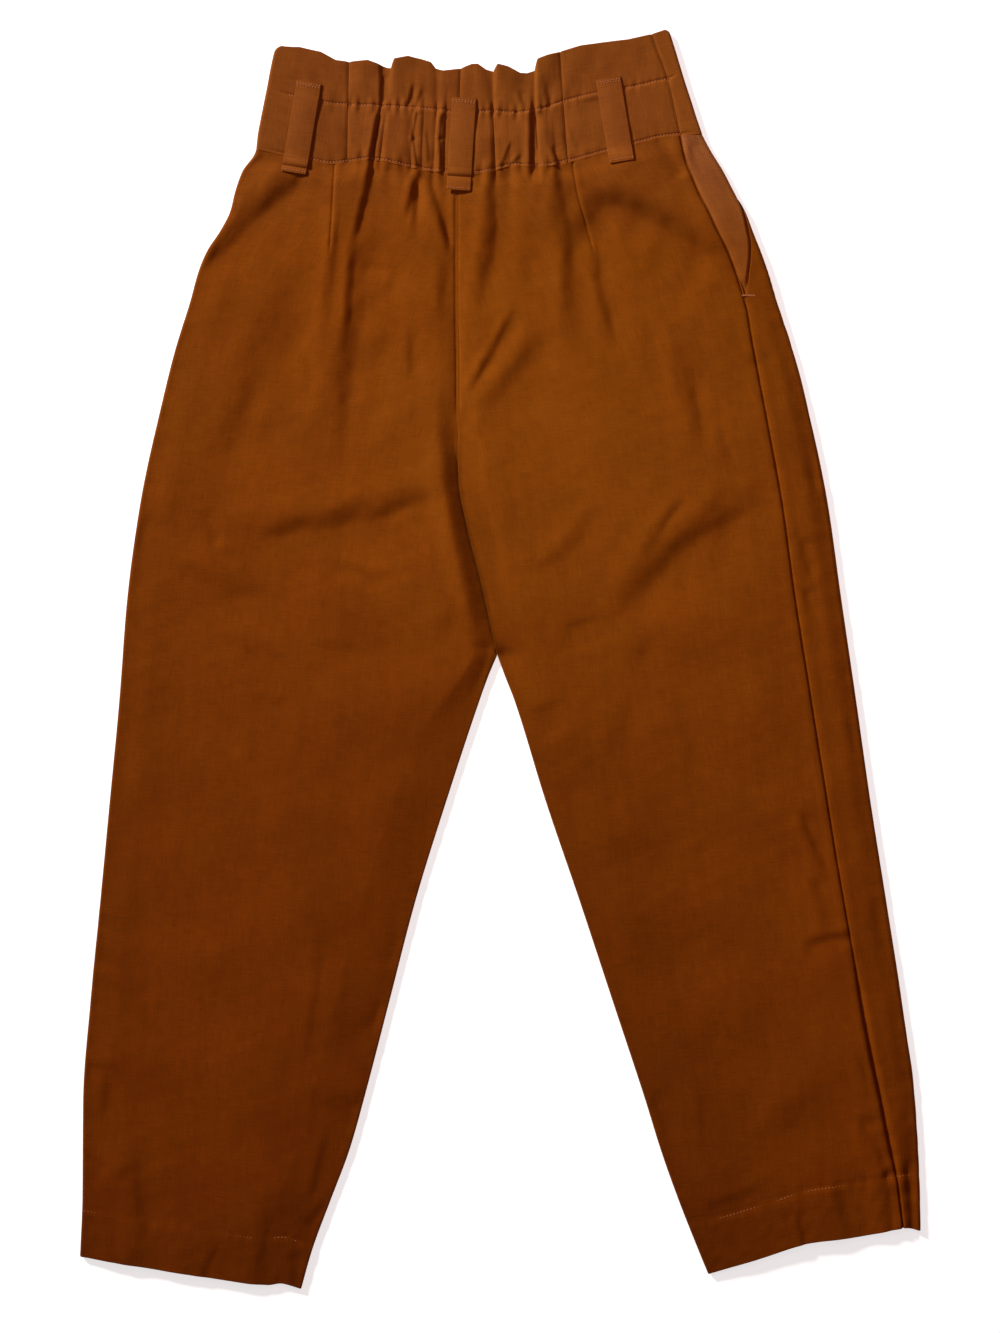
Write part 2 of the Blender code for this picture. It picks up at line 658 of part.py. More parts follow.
def right_front_wraps(row):
    """Columns of the right front, from the outseam or the pocket edge to the inner edge."""
    level = RIGHT.levels("front", row)[1]
    high = outseam(level) - SEAM_GAP / 2
    if level > POCKET_BOTTOM:
        high = min(high, pocket_edge(level))
    roll = RIGHT.roll(row)
    quarter = roll * math.pi / 2
    low = -(RIGHT.width("front", row) - CLOTH / 2 - roll + quarter)
    near = -quarter - NEAR_FRONT
    wraps = column_wraps(high, near, quarter, 3, ROLL_STEPS, 2)
    return wraps + steps(near, low, 3)[1:]


def left_front_wraps(row):
    level = LEFT.levels("front", row)[1]
    high = LEFT_SEAM - SEAM_GAP / 2
    if level > POCKET_BOTTOM:
        high = min(high, left_pocket_wrap(level))
    roll = LEFT.roll(row)
    low = -(LEFT.width("front", row) - CLOTH / 2 - roll + roll * math.pi / 2)
    return steps(high, low, 4)


def facing_inward(wrap, seam, opening):
    """How far a pocket facing lies inside the front panel: none at the outseam."""
    run = seam - opening
    behind = (CLOTH + FACING_CLOTH) / 2 + POCKET_GAP
    share = (wrap - opening) / max(run, 1.0)
    return behind * (1.0 - ease(share) * ease((run - POCKET_START) / POCKET_SPREAD))


def pocket_facing(half, rows, seam_at, opening_at):
    """Facing from the outseam to a tuck behind the pocket's opening edge."""
    grid = []
    for row in rows:
        level = half.levels("front", row)[1]
        if level < POCKET_BOTTOM - POCKET_FOOT:
            continue
        seam = seam_at(level) - SEAM_GAP / 2
        opening = min(opening_at(level), seam)
        quarter = half.roll(row) * math.pi / 2
        low = opening - POCKET_TUCK
        if seam < -quarter:
            wraps = steps(seam, low, ROLL_STEPS)
        else:
            wraps = column_wraps(seam, low, quarter, 4, ROLL_STEPS, 3)
        grid.append([half.point(row, wrap, facing_inward(wrap, seam, opening))
                     for wrap in wraps])
    return grid


def pocket_rows(rows):
    """Rows of the right front, closer together where the pocket's edge goes round."""
    span = RIGHT.waist[1] - CROTCH_OUTER
    low, high = [(level - CROTCH_OUTER) / span for level in POCKET_TURN]
    margin = 2.0 / span
    kept = [row for row in rows if not low - margin < row < high + margin]
    return sorted(kept + steps(low, high, POCKET_TURN_ROWS))


def shorten_top(grid, gap):
    """Draw a panel's top row back from the waist seam."""
    for c, top in enumerate(grid[-1]):
        down = (grid[-2][c] - top).normalized()
        grid[-1][c] = top + down * gap
    return grid


def make_panels():
    gap = SEAM_GAP / 2
    right_rows = pocket_rows(ROWS)
    backs = {
        "back_left": back_panel(LEFT, lambda row: LEFT_SEAM + gap),
        "back_right": back_panel(RIGHT, lambda row: right_outseam(row) + gap),
    }
    fronts = {
        "front_left": [[LEFT.point(row, wrap) for wrap in left_front_wraps(row)]
                       for row in ROWS],
        "front_right": [[RIGHT.point(row, wrap) for wrap in right_front_wraps(row)]
                        for row in right_rows],
    }
    facings = {
        "pocket_facing_right": pocket_facing(RIGHT, right_rows, outseam, pocket_edge),
        "pocket_facing_left": pocket_facing(LEFT, ROWS, lambda level: LEFT_SEAM, left_pocket_wrap),
    }
    pieces = []
    for name, grid in {**backs, **fronts}.items():
        pieces.append(cloth_wall(name, shorten_top(grid, WAIST_GAP / 2), CLOTH, "panel"))
    for name, grid in facings.items():
        pieces.append(cloth_wall(name, shorten_top(grid, WAIST_GAP / 2), FACING_CLOTH, "facing"))
    return pieces


# ---------------------------------------------------------------- waistband
def band_columns(first, last, pieces_between):
    """Places along the band, between two rows of GATHERS."""
    return steps(first, last, (last - first) * pieces_between)


def trim_side(row, index, gap):
    """Draw one end of a row of points back by a gap; index is 0 or -1."""
    inner = row[1] if index == 0 else row[-2]
    row[index] = row[index] + (inner - row[index]).normalized() * gap


def band_roll(edge_x, level, inward, wraps):
    """Rolled end of the band: points at wrap lengths round an edge."""
    quarter = BAND_ROLL * math.pi / 2
    points = []
    for wrap in wraps:
        if wrap < -quarter:
            inset, height = BAND_CLOTH / 2 + BAND_ROLL - wrap - quarter, BAND_CLOTH / 2
        else:
            angle = wrap / BAND_ROLL
            inset = BAND_CLOTH / 2 + BAND_ROLL * (1.0 - math.cos(angle))
            height = BAND_CLOTH / 2 + BAND_ROLL * (1.0 + math.sin(angle))
        x = edge_x + inward * inset
        points.append(Vector((x, level + waist_line(x) - waist_line(edge_x), height)))
    return points


def end_level(edge_x, ruffle_level, climb):
    """Level of a band row where it meets a rolled end."""
    if climb <= 1.0:
        return mix(seam_level(edge_x), stitch_level(edge_x), climb)
    return mix(stitch_level(edge_x), ruffle_level, climb - 1.0)


def left_end_level(climb):
    return end_level(LEFT_WAIST[0], RUFFLE_LEFT, climb)


def right_end_level(climb):
    return end_level(RIGHT_WAIST[0], RUFFLE_RIGHT, climb)


def front_band_row(climb):
    """Front band from the side seam over the right edge and under to the left."""
    quarter = BAND_ROLL * math.pi / 2
    level = right_end_level(climb)
    edge_x = band_right_edge(level)
    seam = Vector(gather_line(GATHERS[SEAM_SIDE], climb))
    roll = band_roll(edge_x, level, -1.0, steps(quarter, -quarter, ROLL_STEPS))
    half_way = (seam + roll[0]) / 2
    half_way.z = max(seam.z, roll[0].z)
    row = [seam, half_way] + roll
    left_x = band_left_edge(left_end_level(climb)) + BAND_UNDER + SEAM_GAP
    start_x = edge_x - BAND_CLOTH / 2 - 5 * BAND_ROLL
    share = BAND_SPLIT * min(climb, 1.0) + (1.0 - BAND_SPLIT) * max(climb - 1.0, 0.0)
    for x in steps(start_x, left_x, BAND_FRONT_COLUMNS):
        y = mix(waist_line(x), front_top_level(x), share)
        row.append(Vector((x, y, BAND_CLOTH / 2)))
    return row


def make_band():
    gap = SEAM_GAP / 2
    parts = {
        "band_back_left": (SEAM_LEFT, SEAM_CENTRE, 2),
        "band_back_right": (SEAM_CENTRE, SEAM_RIGHT, 2),
        "band_side_right": (SEAM_RIGHT, SEAM_SIDE, 2),
    }
    pieces = []
    for name, (first, last, between) in parts.items():
        grid = []
        for climb in BAND_CLIMBS:
            row = [band_point(place, climb) for place in band_columns(first, last, between)]
            trim_side(row, 0, gap)
            trim_side(row, -1, gap)
            grid.append(row)
        pieces.append(cloth_wall(name, lift_bottom(grid, WAIST_GAP / 2), BAND_CLOTH, "band"))
    quarter = BAND_ROLL * math.pi / 2
    grid = []
    for climb in BAND_CLIMBS:
        level = left_end_level(climb)
        wraps = [-BAND_UNDER] + steps(-quarter, quarter, ROLL_STEPS)
        row = band_roll(band_left_edge(level), level, 1.0, wraps)
        row += [band_point(place, climb) for place in band_columns(0, SEAM_LEFT, 2)]
        trim_side(row, -1, gap)
        grid.append(row)
    lift_bottom(grid, WAIST_GAP / 2)
    pieces.append(cloth_wall("band_side_left", grid, BAND_CLOTH, "band"))
    grid = [front_band_row(climb) for climb in BAND_CLIMBS]
    for row in grid:
        trim_side(row, 0, gap)
    lift_bottom(grid, WAIST_GAP / 2)
    pieces.append(cloth_wall("band_front", grid, BAND_CLOTH, "band"))
    return pieces


def lift_bottom(grid, gap):
    """Draw a band's bottom row back from the waist seam."""
    for c, low in enumerate(grid[0]):
        grid[0][c] = low + (grid[1][c] - low).normalized() * gap
    return grid


# ---------------------------------------------------------------- belt loops
def surface_height(x, y):
    """Top of the cloth under a belt loop."""
    if y >= seam_level(x):
        climb = (y - seam_level(x)) / (stitch_level(x) - seam_level(x))
        if climb > 1.0:
            climb = 1.0 + (y - stitch_level(x)) / RUFFLE
        heights = [gather_line(GATHERS[0], climb)[2]]
        for index in range(len(GATHERS) - 1):
            low = gather_line(GATHERS[index], climb)
            high = gather_line(GATHERS[index + 1], climb)
            if low[0] <= x <= high[0]:
                heights.append(mix(low[2], high[2], ease((x - low[0]) / (high[0] - low[0]))))
        return max(heights) + BAND_CLOTH / 2
    half = LEFT if x < centre_back(y) else RIGHT
    row = 1.0 - (seam_level(x) - y) / (seam_level(x) - CROTCH)
    spot = Vector((x, y))
    inset = abs(half.ends("back", row)[1].x - x)
    return half.upper_height(row, spot, inset) + CLOTH / 2


def belt_loop(name, top_x, top_y, bottom_x, bottom_y, width):
    """Strap that is tacked at both ends and stands clear of the casing between them."""
    top, bottom = Vector((top_x, top_y)), Vector((bottom_x, bottom_y))
    length = (bottom - top).length
    along = (bottom - top) / length
    across = Vector((-along.y, along.x))
    rest = STRAP_CLOTH / 2 + LOOP_GAP
    places = steps(0.0, length, LOOP_ROWS)
    under = []
    for place in places:
        centre = top + along * place
        samples = [centre + across * (width * share) for share in (-0.5, -0.3, -0.1, 0.1, 0.3, 0.5)]
        under.append(max(surface_height(spot.x, spot.y) for spot in samples))
    grid = []
    for index, place in enumerate(places):
        near = under[max(index - 1, 0):index + 2]
        free = ease((place - LOOP_TACK) / LOOP_EASE)
        free *= ease((length - LOOP_TACK - place) / LOOP_EASE)
        height = max(near) + rest + LOOP_LIFT * free
        row = []
        for share in steps(-0.5, 0.5, LOOP_COLUMNS):
            spot = top + along * place + across * (width * share)
            row.append(Vector((spot.x, spot.y, height)))
        grid.append(row)
    return cloth_wall(f"belt_loop_{name}", grid, STRAP_CLOTH, "loop")


def centre_on_origin(pieces):
    """Hang every piece on one empty and move it, so that the garment's box is centred."""
    corners = [vertex.co for piece in pieces for vertex in piece.data.vertices]
    holder = bpy.data.objects.new("trousers", None)
    bpy.context.collection.objects.link(holder)
    middle_x = (min(c.x for c in corners) + max(c.x for c in corners)) / 2
    middle_y = (min(c.y for c in corners) + max(c.y for c in corners)) / 2
    holder.location = (-middle_x, -middle_y, -min(c.z for c in corners))
    for piece in pieces:
        piece.parent = holder
    return holder


def main():
    clear_scene()
    pieces = make_panels() + make_band()
    pieces += [belt_loop(*row) for row in LOOPS]
    centre_on_origin(pieces)
    bpy.context.view_layer.update()


main()
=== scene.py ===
# %% [markdown]
# # Paperbag waist trousers, lying flat with the back uppermost
# Tapered trousers of a rust-brown linen and cotton cloth lie on a pale floor.  The construction
# model already holds every cut piece as a plain wall of cloth.  This lesson gives each of them its
# folds, seams, stitches and weave, and leaves every piece where the construction model has it.

# %% Load the construction model
import math

import bpy
import numpy as np
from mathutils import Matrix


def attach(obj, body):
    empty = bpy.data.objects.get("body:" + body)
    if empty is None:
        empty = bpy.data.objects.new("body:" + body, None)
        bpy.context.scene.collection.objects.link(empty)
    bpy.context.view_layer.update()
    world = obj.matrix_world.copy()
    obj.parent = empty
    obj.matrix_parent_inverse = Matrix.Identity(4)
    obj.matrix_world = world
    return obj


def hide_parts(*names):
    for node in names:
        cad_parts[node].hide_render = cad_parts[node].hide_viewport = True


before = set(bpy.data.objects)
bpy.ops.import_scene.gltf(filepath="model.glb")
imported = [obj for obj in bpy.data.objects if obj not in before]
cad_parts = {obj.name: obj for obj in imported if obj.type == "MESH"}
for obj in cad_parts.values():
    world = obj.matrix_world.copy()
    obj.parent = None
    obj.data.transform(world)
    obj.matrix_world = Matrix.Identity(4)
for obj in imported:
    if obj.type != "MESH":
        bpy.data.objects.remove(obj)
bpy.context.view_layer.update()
MM = 0.001
TABLE_SHIFT = np.array((-0.687, 0.406, 0.0))     # from the tables' origin to the model's

# %% [markdown]
# ## Sizes
# All tables are in millimetres, with X across the garment, Y from the hems to the waist and Z up
# from the floor.  They are the pattern maker's outlines: where the silhouette runs, where the
# seams lie and how high the cloth stands.

# %% Outlines and seams
WALL = 0.9               # cloth of a leg panel
FACING_WALL = 0.8
BAND_WALL = 1.4          # two layers of cloth
STRAP_WALL = 1.1         # a belt loop, folded in four
SEAM_GAP = 0.3           # between two pieces that are sewn together
WAIST_GAP = 0.14
CROTCH = 3.0             # level of the crotch's row at the inner edge, and at the outer edge
CROTCH_OUTER = 29.0
SEAT_LOFT = 7.2          # middle of the upper layer over the seat
LEG_LOFT = 6.0
REST = 1.9               # middle of an upper panel that lies on the front panel
BAND_REST = 2.6
BAND_MIDDLE = 4.4        # middle of the gathered band
FOLD_GAIN = 1.35         # heights of the folds, the casing and the ruffle are times this
BAND_GAIN = 0.9
RUFFLE_GAIN = 0.75
CASING_DEPTH = 49.0
RUFFLE_DEPTH = 37.0
EDGE_RUN = 24.0          # way in from the left roll over which the upper layer rises
EDGE_RUN_RIGHT = 15.0    # the same from the right roll
CENTRE_RUN = 17.0        # from the centre seam
INSEAM_RUN = 40.0        # from an inseam
FOLD_RUN = 22.0          # and from the centre fold
EDGE_SHARE = 0.45        # part of the turned strip that is round
EDGE_TURN = 2.5          # cloth turned down along an inseam
SEAM_TURN = 0.9          # and beside the centre seam
SEAM_END = 185.0         # level where the centre seam gives way to a fold
DART_END = 322.0
HEM_DEPTHS = {"left": 37.0, "right": 42.0}
ELASTIC_LEFT = -132.0
ELASTIC_RIGHT = 66.0
GATHER_RUN = 16.0        # way down from the waist seam over which the gathers fade
HEM_RUN = 0.2            # share of a leg's rows that bend towards the hem
WAIST_RUN = 0.3          # share of the seat's rows that bend towards the waist seam
LEFT_SEAM = -18.0        # wrap of the left outseam, underneath
POCKET_GAP = 1.1         # between a facing and the front, behind the opening's edge
POCKET_TUCK = 10.0
POCKET_BOTTOM = 290.5
POCKET_FOOT = 4.0
BAND_ROLL = 2.0          # radius of the band's rolled ends
BAND_UNDER = 14.0        # how far its left end goes on underneath
BAND_SPLIT = 0.57        # the casing's share of the front band
LEFT_WAIST = (-195.4, 407.2)
RIGHT_WAIST = (162.4, 420.0)
FRONT_CENTRE_X = -17.0
BACK_TOP = 389.0         # level of the waist seam at the centre back
RUFFLE_LEFT = 490.0      # levels of the ruffle's edge at its ends
RUFFLE_RIGHT = 503.0

# outer edges of the garment: level, left x, right x
OUTER_EDGES = (
    (420, -194.6, 162.4), (407, -195.4, 169.5), (391, -206.0, 179.6), (375, -211.8, 188.0),
    (359, -215.8, 197.0), (343, -224.0, 203.0), (327, -234.4, 209.2), (311, -241.0, 214.8),
    (287, -247.6, 222.0), (247, -260.0, 235.2), (207, -270.0, 245.8), (127, -287.4, 262.6),
    (47, -298.4, 274.0), (-33, -304.6, 285.8), (-113, -312.2, 297.4), (-193, -319.8, 309.8),
    (-273, -327.6, 322.2), (-353, -333.6, 333.0), (-433, -334.2, 337.0), (-478, -336.0, 337.6),
)
# inner edges of the legs: level, left x, right x
INNER_EDGES = (
    (3, -2.4, -1.2), (-13, -9.2, 4.6), (-33, -16.4, 12.4), (-113, -42.8, 37.2),
    (-193, -67.6, 64.4), (-273, -88.4, 90.8), (-353, -109.2, 117.2), (-393, -120.6, 129.6),
    (-433, -135.6, 143.8), (-473, -150.4, 159.6), (-504, -159.2, 172.4),
)
# centre line of the back, a seam above and a fold below: level, x
CENTRE_BACK = (
    (389, -34.2), (300, -34.2), (223, -33.4), (175, -33.4), (142, -32.4), (106, -25.8),
    (60, -14.3), (3, -1.8),
)
# how the back panels meet at the centre: level, height of the left and of the right panel, how
# far each edge is bent down (1 is upright), how far the left one is tucked under the right one,
# and the length of cloth that is turned down at the right one's edge
CENTRE_MEETING = (
    (3, 3.1, 3.6, 1.0, 1.0, 0.0, 2.5),
    (9, 2.0, 6.2, 0.0, 1.1, 0.0, 2.2),
    (20, 2.0, 7.6, 0.0, 1.0, 7.0, 1.9),
    (130, 2.0, 8.2, 0.0, 1.0, 8.0, 1.8),
    (152, 2.2, 7.4, 0.0, 1.0, 3.0, 2.0),
    (172, 3.2, 6.4, 0.0, 0.6, 0.0, 2.2),
    (192, 4.8, 5.6, 0.0, 0.0, 0.0, 0.9),
    (389, 5.0, 5.4, 0.0, 0.0, 0.0, 0.9),
)
# hems: share of the way from the inner to the outer corner, rise of the left and right hem
HEM_SHAPE = (
    (0.00, 0.0, 0.0), (0.08, 2.2, 1.4), (0.15, -0.6, 2.6), (0.25, -1.5, 4.4), (0.46, -1.4, 8.7),
    (0.75, -0.8, 5.5), (0.91, -0.2, 5.5), (1.00, 0.0, 0.0),
)
# right leg: level, how far the outseam and the pocket's opening edge lie in from the rolled edge
RIGHT_SEAM = (
    (420, 18.0), (391, 27.0), (359, 29.0), (327, 26.0), (290, 25.5), (252, 31.0), (207, 34.5),
    (166, 36.0), (81, 37.0), (-104, 35.0), (-191, 34.0), (-306, 31.0), (-364, 25.6),
    (-413, 19.0), (-455, 15.0),
)
POCKET_EDGE = (
    (420, -23.0), (391, -10.5), (359, 1.5), (338, 5.0), (324, 10.0), (311, 16.0), (302, 20.0),
    (291, 25.0),
)
# radius of the outer rolls: level, left, right
ROLLS = ((420, 2.2, 2.3), (400, 2.1, 2.8), (300, 2.0, 2.8), (250, 1.9, 2.0), (-480, 1.7, 1.7))
# waist seam and upper stitch row of the casing: x, level of the seam, level of the stitches
WAIST_LINES = (
    (-196, 407.2, 457.0), (-151, 398.4, 448.0), (-136, 395.6, 445.3), (-104, 399.0, 443.4),
    (-75, 393.8, 441.6), (-56, 390.2, 440.2), (-21, 387.4, 437.9), (-8, 389.2, 438.6),
    (12, 394.4, 437.4), (31, 393.0, 439.6), (53, 396.6, 447.0), (81, 404.0, 453.6),
    (108, 411.4, 458.4), (132, 417.4, 464.0), (163, 420.0, 469.0),
)
# band edges: level, left x, right x
BAND_EDGES = (
    (407, -195.0, 166.0), (420, -193.6, 162.4), (433, -191.2, 158.0), (447, -188.4, 153.6),
    (460, -185.8, 149.3), (474, -183.2, 145.0), (488, -180.0, 140.8), (503, -175.0, 136.0),
)
FRONT_TOP = ((-181, 478), (-150, 474), (-90, 464), (30, 463), (60, 474), (110, 488), (136, 500))

# %% [markdown]
# ## Curves
# An outline that is given at a few levels becomes a smooth line through them.  A monotone
# cubic is used, because it never swings past its points as a plain spline can.  Everything works
# on whole arrays at once, so thousands of points cost no more than one.

# %% Helpers for smooth curves
def ease(share):
    share = np.clip(share, 0.0, 1.0)
    return share * share * (3.0 - 2.0 * share)


def mix(low, high, share):
    return low + (high - low) * share


def bell(offset, width):
    """One where the offset is zero, fading to nothing a few widths away."""
    return np.exp(-(offset / width) ** 2)


def unit(vectors):
    return vectors / np.maximum(np.linalg.norm(vectors, axis=-1, keepdims=True), 1e-9)


def lengths_along(points):
    """Distance of each point from the first one, along the line through them."""
    return np.concatenate(((0.0,), np.cumsum(np.linalg.norm(np.diff(points, axis=0), axis=-1))))


def smooth_curve(table, value=1):
    """Curve of a table's column over its first one, with no overshoot between its rows."""
    rows = sorted((row[0], row[value]) for row in table)
    keys = np.array([row[0] for row in rows], float)
    values = np.array([row[1] for row in rows], float)
    widths = np.diff(keys)
    slopes = np.diff(values) / widths
    tangents = np.empty_like(values)
    tangents[0], tangents[-1] = slopes[0], slopes[-1]
    before, after = slopes[:-1], slopes[1:]
    same_way = before * after > 0.0
    total = np.where(same_way, before + after, 1.0)
    tangents[1:-1] = np.where(same_way, 2.0 * before * after / total, 0.0)

    def at(x):
        x = np.asarray(x, float)
        i = np.clip(np.searchsorted(keys, x, side="right") - 1, 0, len(widths) - 1)
        width = widths[i]
        t = np.clip((x - keys[i]) / width, 0.0, 1.0)
        start = (1 + 2 * t) * (1 - t) ** 2 * values[i] + t * (1 - t) ** 2 * width * tangents[i]
        end = t * t * (3 - 2 * t) * values[i + 1] + t * t * (t - 1) * width * tangents[i + 1]
        return start + end

    return at


def ripple(x, y, size, seed):
    """Soft uneven waves of about one size, between -1 and 1."""
    pick = np.random.default_rng(seed)
    total = np.zeros(np.broadcast(x, y).shape)
    for _ in range(7):
        angle = pick.uniform(0.0, math.pi)
        length = size * pick.uniform(0.75, 1.5)
        phase = pick.uniform(0.0, 2 * math.pi)
        turn = 2 * math.pi / length
        total = total + np.sin((x * math.cos(angle) + y * math.sin(angle)) * turn + phase)
    return total / 4.0


def waist_puckers(x, y):
    """Short puckers that run up and down across the waist seam."""
    return ripple(x, 0.15 * y, 8.5, 32)


centre_back = smooth_curve(CENTRE_BACK)
seam_level = smooth_curve(WAIST_LINES, 1)
stitch_level = smooth_curve(WAIST_LINES, 2)
band_left_edge = smooth_curve(BAND_EDGES, 1)
band_right_edge = smooth_curve(BAND_EDGES, 2)
front_top_level = smooth_curve(FRONT_TOP)
outseam = smooth_curve(RIGHT_SEAM)
pocket_edge = smooth_curve(POCKET_EDGE)


def elastic_at(x):
    """One where the elastic gathers the band, zero beside it."""
    return ease((x - ELASTIC_LEFT) / 14.0) * ease((ELASTIC_RIGHT - x) / 14.0)


def waist_line(x):
    """Straight waist seam of the front, from side to side."""
    share = (x - LEFT_WAIST[0]) / (RIGHT_WAIST[0] - LEFT_WAIST[0])
    return mix(LEFT_WAIST[1], RIGHT_WAIST[1], share)


print("waist seam at the centre back, mm:", round(float(seam_level(-34.0)), 1))
